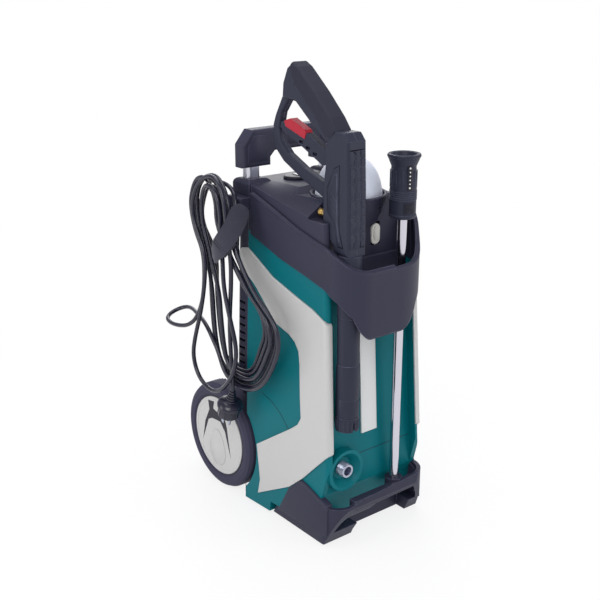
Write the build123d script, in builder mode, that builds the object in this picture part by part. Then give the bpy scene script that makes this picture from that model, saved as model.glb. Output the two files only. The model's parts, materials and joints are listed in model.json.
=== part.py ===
"""Upright electric pressure washer on two wheels, with its gun, lance and mains cord stored on it.

Millimetres. +Z is up, -Y is the front with the accessory basket, and X = 0 is midway between
the wheels. The origin is on the floor, under the middle of the machine.
"""
import math
import os

from build123d import *

os.makedirs("parts", exist_ok=True)

# ---------------------------------------------------------------- driving dimensions
# Clearances
RUN = 0.05            # radial running fit of a shaft in its hole
SEAT = 0.3            # gap between pieces of different bodies, and of a piece that lifts out
SEAM = 0.4            # moulded parting line

# Housing: a hollow moulding, wider at the floor and towards the rear
LOFT_TOP = 560.0      # height at which the upper plan outline is given
FRONT_LOW, FRONT_TOP = -174.0, -141.0          # front corners, at the floor and at LOFT_TOP
HALF_FRONT_LOW, HALF_FRONT_TOP = 101.0, 88.0   # half width at the front
HALF_REAR_LOW, HALF_REAR_TOP = 115.0, 95.0     # half width at the rear
REAR = 66.0           # rear wall
RECESS = 16.0         # the front face lies this far behind the front corners
EAR = 9.0             # width of the front corner posts beside that recess
EAR_R = 8.0
REAR_R = 14.0
WALL = 3.0
SPLIT_Y = 34.0        # parting plane between the front and the rear housing
PART_LINE = ((SPLIT_Y, 474.0), (-200.0, 423.0))   # where the top cover meets the front housing
FLOOR_IN_BASE = 24.0  # the housing stands on the base here
BODY_BOTTOM = 6.0
REAR_TOP = 512.0      # top of the rear housing
TAIL_HALF = 72.0      # rear housing between the wheels
TRIM = 3.0            # how far the pale trims stand proud
STRIP_HALF = 16.0
STRIP_PROUD = 2.5

# Wheels
WHEEL_R = 94.0
AXLE_Y, AXLE_Z = 108.0, 94.0
AXLE_R = 6.0
WHEEL_FACE = 118.0    # outer face of a tyre
TYRE_WIDTH = 38.0
RIM_R = 72.0
CAP_R = 70.0
ARCH_R = 101.0        # wheel arch in the housing
ARCH_HALF = 77.0      # the arch starts this far from the middle

# Handle
HANDLE_Y = 53.0
HANDLE_DEEP = 26.0
HANDLE_HALF = 100.0
HANDLE_TOP = 628.0
GRIP_UNDER = 592.0
POST_BOTTOM = 570.0
POST_INNER = 46.0
TUBE_X = 77.0
TUBE_WIDE, TUBE_DEEP, TUBE_WALL = 28.0, 18.0, 1.5
TUBE_LOW, TUBE_HIGH = 290.0, 604.0
SHOULDER_TOP = 553.0
DECK = 548.0

# Gun, stored with its barrel down
GUN_X = -63.0
GUN_HALF = 18.0
GRIP_HALF = 15.5
GUARD_HALF = 7.0
BARREL_Y = -168.5
BARREL_R = 18.0
BARREL_BOTTOM = 197.0
BARREL_TOP = 474.0
COLLAR_TALL = 23.0

# Lance
LANCE_X, LANCE_Y = 40.0, -168.0
LANCE_R = 7.5
HEAD_R = 20.0
MOUTH_R = 24.5
HEAD_BOTTOM, HEAD_TOP = 514.0, 608.0

# Basket and collar
BASKET_FRONT = -202.0
BASKET_LEFT, BASKET_RIGHT = -94.0, 95.0
BASKET_LEFT_R, BASKET_RIGHT_R = 46.0, 84.0
BASKET_WALL = 7.0

# Outlet
OUTLET_X, OUTLET_Z = -60.0, 122.0
M22_R = 11.0
THREAD_LONG = 14.0
BOSS_R = 34.0
DISH_R = 18.0         # floor of the dish round the outlet

# Bottle
BOTTLE_Y = -92.0
BOTTLE_R = 51.0
BOTTLE_SHOULDER, BOTTLE_TOP, BOTTLE_BOTTOM = 538.0, 600.0, 480.0

PARTS = {}


def keep(part, name):
    """Label one finished sub-part and write it out."""
    part.label = name
    PARTS[name] = part
    export_step(part, f"parts/{name}.step")


def at_height(z, low, top):
    """A plan size at height z, between its values at the floor and at LOFT_TOP."""
    return low + (top - low) * z / LOFT_TOP


def front_at(z):
    return at_height(z, FRONT_LOW, FRONT_TOP)


def face_at(z):
    """Y of the recessed front face at height z."""
    return front_at(z) + RECESS


def yz_prism(points, x_low, x_high):
    """A side-view polygon of (y, z) points, extruded across X."""
    with BuildPart() as prism:
        with BuildSketch(Plane.YZ.offset(x_low)):
            with BuildLine():
                Polyline(*points, close=True)
            make_face()
        extrude(amount=x_high - x_low)
    return prism.part


def xz_prism(points, y_low, y_high):
    """A front-view polygon of (x, z) points, extruded along Y."""
    with BuildPart() as prism:
        with BuildSketch(Plane.XZ.offset(-y_high)):
            with BuildLine():
                Polyline(*points, close=True)
            make_face()
        extrude(amount=y_high - y_low)
    return prism.part


def block(x_low, x_high, y_low, y_high, z_low, z_high):
    with BuildPart() as solid:
        with Locations((x_low, y_low, z_low)):
            Box(x_high - x_low, y_high - y_low, z_high - z_low, align=(Align.MIN, Align.MIN, Align.MIN))
    return solid.part


def rod(x, y, z_low, z_high, radius):
    """An upright round bar."""
    with BuildPart() as solid:
        with Locations((x, y, z_low)):
            Cylinder(radius, z_high - z_low, align=(Align.CENTER, Align.CENTER, Align.MIN))
    return solid.part


def cross_rod(x_low, x_high, y, z, radius):
    """A round bar along X."""
    with BuildPart() as solid:
        with BuildSketch(Plane.YZ.offset(x_low)):
            with Locations((y, z)):
                Circle(radius)
        extrude(amount=x_high - x_low)
    return solid.part


def deep_rod(x, z, y_low, y_high, radius):
    """A round bar along Y."""
    with BuildPart() as solid:
        with BuildSketch(Plane.XZ.offset(-y_low)):
            with Locations((x, z)):
                Circle(radius)
        extrude(amount=y_low - y_high)
    return solid.part


def plan_points(z, grow):
    """Corners of the housing's plan outline at height z, with the recessed front face."""
    half_front = at_height(z, HALF_FRONT_LOW, HALF_FRONT_TOP) + grow
    half_rear = at_height(z, HALF_REAR_LOW, HALF_REAR_TOP) + grow
    front = front_at(z) - grow
    face = face_at(z) - grow
    inner = half_front - EAR - 2 * grow
    right = [(inner, face), (inner, front), (half_front, front), (half_rear, REAR + grow)]
    left = [(-x, y) for x, y in reversed(right)]
    return right + left


def housing_form(grow=0.0):
    """Outer form of the housings and top cover, grown by one offset."""
    with BuildPart() as form:
        for z in (0.0, LOFT_TOP):
            with BuildSketch(Plane.XY.offset(z)) as outline:
                with BuildLine():
                    Polyline(*plan_points(z, grow), close=True)
                make_face()
                corners = outline.vertices().sort_by(Axis.Y)
                fillet([v for v in corners[:4] if abs(v.X) > max(abs(c.X) for c in corners[:4]) - 1], EAR_R)
                fillet(outline.vertices().sort_by(Axis.Y)[-2:], REAR_R)
        loft(ruled=True)
    return form.part


def hollow_form(inset):
    """The space inside the housings: a plain wedge without the corner posts."""
    with BuildPart() as form:
        for z in (0.0, LOFT_TOP):
            half_front = at_height(z, HALF_FRONT_LOW, HALF_FRONT_TOP) - inset
            half_rear = at_height(z, HALF_REAR_LOW, HALF_REAR_TOP) - inset
            with BuildSketch(Plane.XY.offset(z)):
                with BuildLine():
                    Polyline((half_front, face_at(z) + inset), (half_rear, REAR - inset),
                             (-half_rear, REAR - inset), (-half_front, face_at(z) + inset), close=True)
                make_face()
        loft(ruled=True)
    return form.part


def arch_cut(radius, half):
    """Wheel arches: two discs about the axle, outside the half width."""
    return cross_rod(half, 140, AXLE_Y, AXLE_Z, radius) + cross_rod(-140, -half, AXLE_Y, AXLE_Z, radius)


outer = housing_form()
hollow = hollow_form(WALL)
strip_shell = housing_form(STRIP_PROUD) - outer

# ---------------------------------------------------------------- front housing
# Side outline of the front housing, from the swept-back chin to the parting line of the cover.
CHIN = ((-173.0, 160.0), (-168.0, 138.0), (-152.0, 80.0), (-141.0, FLOOR_IN_BASE))
SKIRT_END = -32.0
front_side = [PART_LINE[0], PART_LINE[1], (-200.0, 160.0), *CHIN, (SKIRT_END, FLOOR_IN_BASE),
              (SKIRT_END + 2, BODY_BOTTOM), (SPLIT_Y, BODY_BOTTOM)]
CAVITY_FLOOR = FLOOR_IN_BASE + WALL
cavity_side = [(SPLIT_Y + 1, 600.0), (-200.0, 600.0), (-200.0, 160.0), (-146.0, 90.0),
               (-138.0, CAVITY_FLOOR), (SPLIT_Y + 1, CAVITY_FLOOR)]
front_prism = yz_prism(front_side, -150, 150)
cavity = (hollow & yz_prism(cavity_side, -150, 150)) - arch_cut(ARCH_R + WALL, ARCH_HALF - WALL)

with BuildPart() as front_housing:
    add(outer)
    add(front_prism, mode=Mode.INTERSECT)
    # Dished boss round the water outlet
    with BuildSketch(Plane.XZ.offset(-face_at(OUTLET_Z) - 8)):
        with Locations((OUTLET_X, OUTLET_Z)):
            Circle(BOSS_R)
    extrude(amount=RECESS + 7)
    add(cavity, mode=Mode.SUBTRACT)
    add(arch_cut(ARCH_R, ARCH_HALF), mode=Mode.SUBTRACT)
    with BuildSketch(Plane.XZ.offset(-face_at(OUTLET_Z) + 2)):
        with Locations((OUTLET_X, OUTLET_Z)):
            Circle(DISH_R)
    with BuildSketch(Plane.XZ.offset(-face_at(OUTLET_Z) + 18)):
        with Locations((OUTLET_X, OUTLET_Z)):
            Circle(BOSS_R - 3)
    loft(mode=Mode.SUBTRACT)
    with BuildSketch(Plane.XZ.offset(-face_at(OUTLET_Z) - 30)):
        with Locations((OUTLET_X, OUTLET_Z)):
            Circle(M22_R + SEAM)
    extrude(amount=60, mode=Mode.SUBTRACT)
keep(front_housing.part, "front_housing")

# ---------------------------------------------------------------- rear housing
REAR_LOW = 206.0      # above this the rear housing takes the full width
BACK_Y = SPLIT_Y + SEAM
tail_side = ((BACK_Y, 26.0), (98.0, 26.0), (126.0, 62.0), (126.0, 128.0), (104.0, 176.0),
             (REAR, 232.0), (BACK_Y, 232.0))
tail_inner = ((BACK_Y - 1, 26.0 + WALL), (97.0, 26.0 + WALL), (126.0 - WALL, 63.0), (126.0 - WALL, 127.0),
              (102.0, 174.0), (REAR - WALL, 232.0), (BACK_Y - 1, 232.0))
TAIL_BACK = 126.0
VENT_STEP = 13.0
VENT_SLOT = 5.0
SCREW_X = 48.0
SCREW_Z = (250.0, 345.0, 440.0)
SCREW_R = 2.0
SCREW_HEAD_R = 4.0
INLET_X, INLET_Z = 40.0, 128.0
INLET_R = 13.2
GLAND_X, GLAND_Z = -60.0, 478.0
GLAND_R = 9.0

with BuildPart() as rear_housing:
    add(outer)
    add(block(-150, 150, BACK_Y, 90, REAR_LOW, REAR_TOP), mode=Mode.INTERSECT)
    add(yz_prism(tail_side, -TAIL_HALF, TAIL_HALF))
    upper_cavity = hollow & block(-150, 150, BACK_Y - 1, 90, REAR_LOW + WALL, REAR_TOP + 1)
    add(upper_cavity, mode=Mode.SUBTRACT)
    add(yz_prism(tail_inner, -TAIL_HALF + WALL, TAIL_HALF - WALL), mode=Mode.SUBTRACT)
    # Axle bosses inside the tail
    for side in (-1, 1):
        x_mid = side * (TAIL_HALF - 10)
        add(cross_rod(x_mid - 9.5, x_mid + 9.5, AXLE_Y, AXLE_Z, AXLE_R + 7)
            & block(-200, 200, 0, TAIL_BACK, 0, 200))
    add(cross_rod(-200, 200, AXLE_Y, AXLE_Z, AXLE_R + RUN), mode=Mode.SUBTRACT)
    # Screw bosses, and the counterbored holes for the housing screws
    for x in (-SCREW_X, SCREW_X):
        for z in SCREW_Z:
            add(deep_rod(x, z, BACK_Y, REAR - 1, SCREW_HEAD_R + 2))
            add(deep_rod(x, z, BACK_Y - 1, REAR, SCREW_R + 0.1), mode=Mode.SUBTRACT)
            add(deep_rod(x, z, REAR - 4, REAR + 9, SCREW_HEAD_R + 0.2), mode=Mode.SUBTRACT)
    # Cooling slots: a column down each side and a block across the back
    for row in range(10):
        z = 232.0 + VENT_STEP * row
        for side in (-1, 1):
            near = 88.0 if side > 0 else -125.0
            add(block(near, near + 37, 40, 58, z, z + VENT_SLOT), mode=Mode.SUBTRACT)
        add(block(-34, 34, REAR - 8, REAR + 8, z + 20, z + 20 + VENT_SLOT), mode=Mode.SUBTRACT)
    # Holes for the water inlet and for the cord gland
    with BuildSketch(Plane.XZ.offset(-TAIL_BACK + 16)):
        with Locations((INLET_X, INLET_Z)):
            Circle(INLET_R + SEAM)
    extrude(amount=-25, mode=Mode.SUBTRACT)
    with BuildSketch(Plane.XZ.offset(-REAR + 6)):
        with Locations((GLAND_X, GLAND_Z)):
            Circle(GLAND_R)
    extrude(amount=-12, mode=Mode.SUBTRACT)
keep(rear_housing.part, "rear_housing")

# ---------------------------------------------------------------- top cover
COVER_FRONT = 541.0   # top of the cover in front of the deck
STEP_Y = -34.0
SHOULDER_LOW_Y, SHOULDER_BACK = 28.0, 72.0
SHOULDER_IN = 55.0
SHOULDER_R = 9.0
CRADLE_LOW, CRADLE_LOW_R, CRADLE_TOP_R = 500.0, 44.0, 58.0
CRADLE_WALL = 3.5
NECK_R = 32.0
NOTCH_X, NOTCH_BACK, NOTCH_LOW = -57.0, -106.0, 517.0
GUN_BACK = -126.0
APRON_LOW = 410.0
APRON_HALF = 70.0
LATCH_X, LATCH_TOP, LATCH_LOW, LATCH_WIDE, LATCH_THICK = 22.0, 498.5, 466.0, 17.0, 4.0
cover_side = [(BACK_Y, PART_LINE[0][1] + SEAM), (PART_LINE[1][0], PART_LINE[1][1] + SEAM),
              (-200.0, COVER_FRONT), (STEP_Y - 12, COVER_FRONT), (STEP_Y, DECK), (120.0, DECK),
              (120.0, REAR_TOP + SEAM), (BACK_Y, REAR_TOP + SEAM)]
cover_inner = [(130.0, 400.0), (130.0, DECK - WALL), (STEP_Y, DECK - WALL), (STEP_Y - 12, COVER_FRONT - WALL),
               (-200.0, COVER_FRONT - WALL), (-200.0, 400.0)]


def flat_oval(wide, deep):
    """Section of a handle tube: straight sides and full round ends."""
    SlotOverall(wide, deep)


def tube_bar(side, wide, deep, z_low, z_high):
    """An upright flat-oval bar on a handle tube's axis."""
    with BuildPart() as bar:
        with BuildSketch(Plane.XY.offset(z_low)):
            with Locations((side * TUBE_X, HANDLE_Y)):
                flat_oval(wide, deep)
        extrude(amount=z_high - z_low)
    return bar.part


def cradle_radius(z):
    """Outer radius of the bottle cradle at height z."""
    return CRADLE_LOW_R + (CRADLE_TOP_R - CRADLE_LOW_R) * (z - CRADLE_LOW) / (COVER_FRONT - CRADLE_LOW)


def cradle_cone(grow, low):
    """The cone of the bottle cradle from a lower height up, grown by one offset."""
    top = COVER_FRONT + 1
    with BuildPart() as cone:
        with BuildSketch(Plane.YZ):
            with BuildLine():
                Polyline((BOTTLE_Y, low), (BOTTLE_Y + cradle_radius(low) + grow, low),
                         (BOTTLE_Y + cradle_radius(top) + grow, top), (BOTTLE_Y, top), close=True)
            make_face()
        revolve(axis=Axis((0, BOTTLE_Y, 0), (0, 0, 1)))
    return cone.part


def gun_notch(grow):
    """The corner of the cover left out behind the stored gun, for its inlet."""
    return block(-150, NOTCH_X + grow, -200, NOTCH_BACK + grow, NOTCH_LOW - grow, 600)


def side_facet(side):
    """The wedge cut from a long upper edge of the cover, deeper towards the front."""
    with BuildPart() as wedge:
        for y, drop in ((SHOULDER_LOW_Y + 4, 1.0), (-150.0, 37.0)):
            with BuildSketch(Plane.XZ.offset(-y)):
                with BuildLine():
                    Polyline((side * (98.0 - 50.0), DECK + 0.5), (side * 130.0, DECK + 0.5),
                             (side * 130.0, DECK - drop * 1.6), (side * 92.0, DECK - drop), close=True)
                make_face()
        loft(ruled=True)
    return wedge.part


with BuildPart() as top_cover:
    add(outer)
    add(yz_prism(cover_side, -150, 150), mode=Mode.INTERSECT)
    for side in (-1, 1):
        add(side_facet(side), mode=Mode.SUBTRACT)
    # The front apron hangs over the top of the front housing's recessed face
    add(strip_shell & block(-APRON_HALF, APRON_HALF, -200, -100, APRON_LOW, 450))
    inner_cover = (hollow & yz_prism(cover_inner, -150, 150)) - gun_notch(WALL)
    inner_cover = inner_cover - block(-150, -40, -200, GUN_BACK + SEAT + 2, 502, 600)
    for side in (-1, 1):
        inner_cover = inner_cover - side_facet(side).moved(Location((side * -2.5, 0, -WALL)))
    add(inner_cover, mode=Mode.SUBTRACT)
    # Rounded shoulders round the handle tubes
    for side in (-1, 1):
        x_low = min(side * SHOULDER_IN, side * (HANDLE_HALF - 1))
        with BuildPart(mode=Mode.PRIVATE) as shoulder:
            add(block(x_low, x_low + HANDLE_HALF - 1 - SHOULDER_IN, SHOULDER_LOW_Y, SHOULDER_BACK,
                      REAR_TOP + SEAM, SHOULDER_TOP))
            fillet(shoulder.faces().sort_by(Axis.Z)[-1].edges(), SHOULDER_R)
        add(shoulder.part)
        add(tube_bar(side, TUBE_WIDE + 2 * SEAT, TUBE_DEEP + 2 * SEAT, 400, 600), mode=Mode.SUBTRACT)
    add(cradle_cone(0.2, CRADLE_LOW - 0.2), mode=Mode.SUBTRACT)
    add(rod(0, BOTTLE_Y, COVER_FRONT, 600, CRADLE_TOP_R + 0.2), mode=Mode.SUBTRACT)
    add(gun_notch(0), mode=Mode.SUBTRACT)
    add(block(-82, -43, -200, GUN_BACK + SEAT, 506, 600), mode=Mode.SUBTRACT)
    add(block(-82, -78, -200, GUN_BACK + SEAT, 460, 507), mode=Mode.SUBTRACT)
    # Pocket for the bottle latch
    add(block(LATCH_X - LATCH_WIDE / 2 - 1, LATCH_X + LATCH_WIDE / 2 + 1, -150, face_at(LATCH_TOP) + 1.6,
              LATCH_LOW - 1, LATCH_TOP + 1), mode=Mode.SUBTRACT)
    # Room behind the latch's root, which turns inward as the latch swings up
    add(block(LATCH_X - LATCH_WIDE / 2 - 1, LATCH_X + LATCH_WIDE / 2 + 1, -150, face_at(LATCH_TOP) + 5,
              LATCH_TOP - 6, LATCH_TOP + 2.5), mode=Mode.SUBTRACT)
keep(top_cover.part, "top_cover")

# ---------------------------------------------------------------- accessory basket
# Side outline: lower edge from the rear seam forward, then the rim back from the front.
BASKET_SIDE = ((24.0, 471.0), (-48.0, 446.0), (-110.0, 431.0), (-150.0, 420.0), (-176.0, 404.0),
               (-192.0, 384.0), (-203.0, 345.0))
RIM_Z = 446.0
basket_left_side = [*BASKET_SIDE, (-210.0, 345.0), (-210.0, RIM_Z), (-196.0, RIM_Z + 6), (-180.0, RIM_Z + 20),
                    (-160.0, RIM_Z + 34), (-129.0, 486.0), (-84.0, 498.0), (-24.0, 520.0), (24.0, 536.0)]
basket_right_side = [*BASKET_SIDE, (-210.0, 345.0), (-210.0, RIM_Z), (-190.0, RIM_Z + 4),
                     (-170.0, RIM_Z + 22), (-157.0, RIM_Z + 50), (-140.0, 516.0), (-84.0, 520.0),
                     (-24.0, 528.0), (24.0, 536.0)]
SEAM_Y = 24.0
BASKET_REAR_HALF = 101.0


def basket_outline(inset):
    """Plan outline of the basket: straight sides to the rear and two unequal front corners."""
    left, right, front = BASKET_LEFT + inset, BASKET_RIGHT - inset, BASKET_FRONT + inset
    left_r, right_r = BASKET_LEFT_R - inset, BASKET_RIGHT_R - inset
    rear = BASKET_REAR_HALF - inset * 0.3
    with BuildLine() as line:
        Polyline((left, front + left_r), (-rear, SEAM_Y + inset), (rear, SEAM_Y + inset),
                 (right, front + right_r))
        RadiusArc((right, front + right_r), (right - right_r, front), right_r)
        Line((right - right_r, front), (left + left_r, front))
        RadiusArc((left + left_r, front), (left, front + left_r), left_r)
    return line.line


def basket_prism(inset):
    with BuildPart() as prism:
        with BuildSketch(Plane.XY.offset(330)):
            with BuildLine():
                add(basket_outline(inset))
            make_face()
        extrude(amount=230)
    return prism.part


basket_gap = housing_form(SEAT)
with BuildPart() as accessory_basket:
    add(basket_prism(0))
    add(yz_prism(basket_left_side, -150, 0) + yz_prism(basket_right_side, 0, 150), mode=Mode.INTERSECT)
    add(basket_prism(BASKET_WALL) & block(-150, 150, -260, face_at(430) + 40, 300, 600), mode=Mode.SUBTRACT)
    add(basket_gap, mode=Mode.SUBTRACT)
    add(hollow_form(-2), mode=Mode.SUBTRACT)
keep(accessory_basket.part, "accessory_basket")

# ---------------------------------------------------------------- pale trims and front strip
TRIM_OUTLINE = ((55, 417), (56, 435), (48, 443), (34, 446), (22, 440), (-29, 412), (-86, 394), (-124, 383),
                (-148, 372), (-163, 358), (-169, 345), (-200, 340), (-200, 186), (-179, 184), (-176, 172),
                (-165, 157), (-109, 98), (-79, 72), (-2, 29), (-7, 56), (3, 117), (-82, 176), (-97, 188),
                (-104, 201), (-101, 232), (-98, 289), (-95, 309), (-86, 322), (-71, 331), (-41, 340),
                (-10, 368), (14, 390))
trim_shell = housing_form(TRIM)
trim_shell = trim_shell - outer
for side, name in ((-1, "side_trim_left"), (1, "side_trim_right")):
    with BuildPart() as side_trim:
        add(trim_shell)
        add(yz_prism(TRIM_OUTLINE, min(side * 60, side * 140), max(side * 60, side * 140)),
            mode=Mode.INTERSECT)
        # The trim stops at the inner edge of the front corner post
        inner_edge = [(side * (at_height(z, HALF_FRONT_LOW, HALF_FRONT_TOP) - EAR), z) for z in (0, 460)]
        add(xz_prism([inner_edge[0], inner_edge[1], (0, 460), (0, 0)], -200, 60), mode=Mode.SUBTRACT)
        add(arch_cut(ARCH_R, ARCH_HALF), mode=Mode.SUBTRACT)
    keep(side_trim.part, name)

STRIP_LOW, STRIP_HIGH = 167.0, 404.0
with BuildPart() as front_strip:
    add(strip_shell)
    add(xz_prism([(-STRIP_HALF, STRIP_LOW), (STRIP_HALF, STRIP_LOW), (STRIP_HALF, STRIP_HIGH),
                  (-STRIP_HALF, STRIP_HIGH)], -200, -100), mode=Mode.INTERSECT)
keep(front_strip.part, "front_strip")

# ---------------------------------------------------------------- base with its bumper bar
BASE_HALF = 102.0
BASE_FRONT = -189.0
BASE_CORNER = 36.0
BASE_WALL = 7.0
FOOT_Z = 3.0
FOOT_FRONT = -161.0
CROSS_Y = -138.0
base_side = [(FOOT_FRONT, FOOT_Z), (BASE_FRONT, 66.0), (BASE_FRONT + 3, 84.0), (-150.0, 84.0), (-146.0, 70.0),
             (-136.0, 70.0), (-92.0, 90.0), (-62.0, 60.0), (-31.0, FOOT_Z)]
gusset = [(-158, 66), (-150, 84), (-137, 117), (-132, 117), (-112, 96), (-84, 66)]
GUSSET_OUT = 104.0
bar_top = [(-110, 69), (-72, 69), (-40, 75), (110, 83), (110, 100), (-110, 100)]
arch = [(-44, -1), (-44, 12), (-36, 34), (-28, 48), (-12, 57), (70, 59), (76, 50), (74, -1)]


def base_plan(inset):
    half, front = BASE_HALF - inset, BASE_FRONT + inset
    with BuildPart() as plan:
        with BuildSketch():
            with BuildLine():
                Polyline((half, 60), (-half, 60), (-half, front), (half, front), close=True)
            corners = make_face().vertices().sort_by(Axis.Y)[:2]
            fillet(corners, BASE_CORNER - inset)
        extrude(amount=150)
    return plan.part


with BuildPart() as base_frame:
    add(base_plan(0))
    add(yz_prism(base_side, -150, 150), mode=Mode.INTERSECT)
    # Tray inside the walls, then the arch under the bumper bar
    add(base_plan(BASE_WALL) & block(-150, 150, -200, 60, FLOOR_IN_BASE, 200), mode=Mode.SUBTRACT)
    add(xz_prism(arch, -200, CROSS_Y - 4), mode=Mode.SUBTRACT)
    add(xz_prism(bar_top, -200, -147), mode=Mode.SUBTRACT)
    # Shelf behind the bar, with the hole that holds the foot of the lance
    add(base_plan(2) & block(-60, 90, -190, -174, 60, 76))
    add(rod(LANCE_X, LANCE_Y, 62, 80, 14))
    # Brace up the side of the housing behind the right end of the bar
    add(yz_prism(gusset, BASE_HALF - 6, GUSSET_OUT))
    add(rod(LANCE_X, LANCE_Y, 0, 200, LANCE_R + SEAT), mode=Mode.SUBTRACT)
    add(housing_form(SEAT) & front_prism, mode=Mode.SUBTRACT)
keep(base_frame.part, "base_frame")

with BuildPart() as front_feet:
    for x_low, x_high in ((-84, -50), (80, 90)):
        add(block(x_low, x_high, FOOT_FRONT + 4, CROSS_Y + 10, 0, FOOT_Z))
keep(front_feet.part, "front_feet")

# ---------------------------------------------------------------- water outlet and inlet
OUTLET_BACK = face_at(OUTLET_Z) + WALL
OUTLET_END = -168.0
OUTLET_CHAMFER = 1.2
with BuildPart() as outlet_fitting:
    add(deep_rod(OUTLET_X, OUTLET_Z, OUTLET_END, OUTLET_END + OUTLET_CHAMFER + THREAD_LONG, M22_R))
    add(deep_rod(OUTLET_X, OUTLET_Z, OUTLET_END + THREAD_LONG, OUTLET_BACK + 2, M22_R - 1))
    with BuildSketch(Plane.XZ.offset(-OUTLET_BACK - 1)):
        with Locations((OUTLET_X, OUTLET_Z)):
            RegularPolygon(14.5, 6)
    extrude(amount=-8)
    chamfer(outlet_fitting.faces().sort_by(Axis.Y)[0].edges(), OUTLET_CHAMFER)
    with BuildSketch(Plane.XZ.offset(-OUTLET_END)):
        with Locations((OUTLET_X, OUTLET_Z)):
            Circle(7.2)
    extrude(amount=-14, mode=Mode.SUBTRACT)
    with BuildSketch(Plane.XZ.offset(-OUTLET_END)):
        with Locations((OUTLET_X, OUTLET_Z)):
            Circle(3)
    extrude(amount=-40, mode=Mode.SUBTRACT)
keep(outlet_fitting.part, "outlet_fitting")

with BuildPart() as inlet_fitting:
    with BuildSketch(Plane.XZ.offset(-TAIL_BACK + 10)):
        with Locations((INLET_X, INLET_Z)):
            Circle(INLET_R)
    extrude(amount=-28)
    with BuildSketch(Plane.XZ.offset(-TAIL_BACK)):
        with Locations((INLET_X, INLET_Z)):
            Circle(INLET_R + 3.5)
    extrude(amount=-3)
    with BuildSketch(Plane.XZ.offset(-TAIL_BACK - 18)):
        with Locations((INLET_X, INLET_Z)):
            Circle(9)
    extrude(amount=20, mode=Mode.SUBTRACT)
    with BuildSketch(Plane.XZ.offset(-TAIL_BACK - 18)):
        with Locations((INLET_X, INLET_Z)):
            Circle(5)
    extrude(amount=30, mode=Mode.SUBTRACT)
keep(inlet_fitting.part, "inlet_fitting")

# ---------------------------------------------------------------- detergent bottle
with BuildPart() as bottle_cradle:
    add(cradle_cone(0, CRADLE_LOW) & block(-80, 80, -200, 0, 0, COVER_FRONT))
    add(cradle_cone(-CRADLE_WALL, CRADLE_LOW + 9), mode=Mode.SUBTRACT)
    add(rod(0, BOTTLE_Y, 400, 600, NECK_R + SEAT), mode=Mode.SUBTRACT)
    for step in (-1, 0, 1):
        with BuildSketch(Plane.XZ.offset(120)):
            with Locations((24 + 3 * step, 524 - 5.5 * step)):
                SlotOverall(14, 2.6)
        extrude(amount=60, mode=Mode.SUBTRACT)
keep(bottle_cradle.part, "bottle_cradle")

BOTTLE_SEAT = CRADLE_LOW + 9 + SEAT
SEAT_R = cradle_radius(BOTTLE_SEAT) - CRADLE_WALL - 0.5
CONE_TOP = BOTTLE_SEAT + (BOTTLE_R - SEAT_R) * (COVER_FRONT - CRADLE_LOW) / (CRADLE_TOP_R - CRADLE_LOW_R)
with BuildPart() as detergent_bottle:
    with BuildSketch(Plane.YZ):
        with BuildLine():
            Polyline((0, BOTTLE_BOTTOM), (NECK_R - 4, BOTTLE_BOTTOM), (NECK_R, BOTTLE_BOTTOM + 4),
                     (NECK_R, BOTTLE_SEAT), (SEAT_R, BOTTLE_SEAT), (BOTTLE_R, CONE_TOP),
                     (BOTTLE_R, BOTTLE_SHOULDER))
            TangentArc((BOTTLE_R, BOTTLE_SHOULDER), (42.5, BOTTLE_TOP - 26), tangent=(0, 1))
            TangentArc((0, BOTTLE_TOP), (42.5, BOTTLE_TOP - 26), tangent=(1, 0))
            Line((0, BOTTLE_TOP), (0, BOTTLE_BOTTOM))
        make_face()
    revolve(axis=Axis.Z)
keep(detergent_bottle.part.moved(Location((0, BOTTLE_Y, 0))), "detergent_bottle")

LATCH_FACE = face_at(LATCH_TOP) + 1.2
with BuildPart() as bottle_latch:
    with BuildSketch(Plane.XZ.offset(-LATCH_FACE)):
        with Locations((LATCH_X, (LATCH_TOP + LATCH_LOW) / 2)):
            SlotOverall(LATCH_TOP - LATCH_LOW, LATCH_WIDE, rotation=90)
    extrude(amount=LATCH_THICK)
    fillet(bottle_latch.faces().sort_by(Axis.Y)[0].edges(), 1.5)
keep(bottle_latch.part, "bottle_latch")

# ---------------------------------------------------------------- power switch on the deck
SWITCH_X, SWITCH_Y = 4.0, 22.0
SWITCH_LONG, SWITCH_WIDE, SWITCH_TALL = 74.0, 46.0, 5.0
ROCKER_LONG, ROCKER_WIDE = 34.0, 15.0
with BuildPart() as switch_bezel:
    with BuildSketch(Plane.XY.offset(DECK)):
        with Locations((SWITCH_X, SWITCH_Y)):
            Ellipse(SWITCH_LONG / 2, SWITCH_WIDE / 2)
    extrude(amount=SWITCH_TALL)
    chamfer(switch_bezel.faces().sort_by(Axis.Z)[-1].edges(), 2)
    with BuildSketch(Plane.XY.offset(DECK)):
        with Locations((SWITCH_X, SWITCH_Y)):
            Rectangle(ROCKER_LONG + 2, ROCKER_WIDE + 1)
    extrude(amount=10, mode=Mode.SUBTRACT)
keep(switch_bezel.part, "switch_bezel")
with BuildPart() as switch_rocker:
    with BuildSketch(Plane.XZ.offset(-SWITCH_Y + ROCKER_WIDE / 2)):
        with BuildLine():
            Polyline((SWITCH_X - ROCKER_LONG / 2, DECK + 6), (SWITCH_X, DECK + 4.5),
                     (SWITCH_X + ROCKER_LONG / 2, DECK + 6), (SWITCH_X + 4, DECK + 1.4),
                     (SWITCH_X - 4, DECK + 1.4), close=True)
        make_face()
    extrude(amount=-ROCKER_WIDE)
keep(switch_rocker.part, "switch_rocker")

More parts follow.
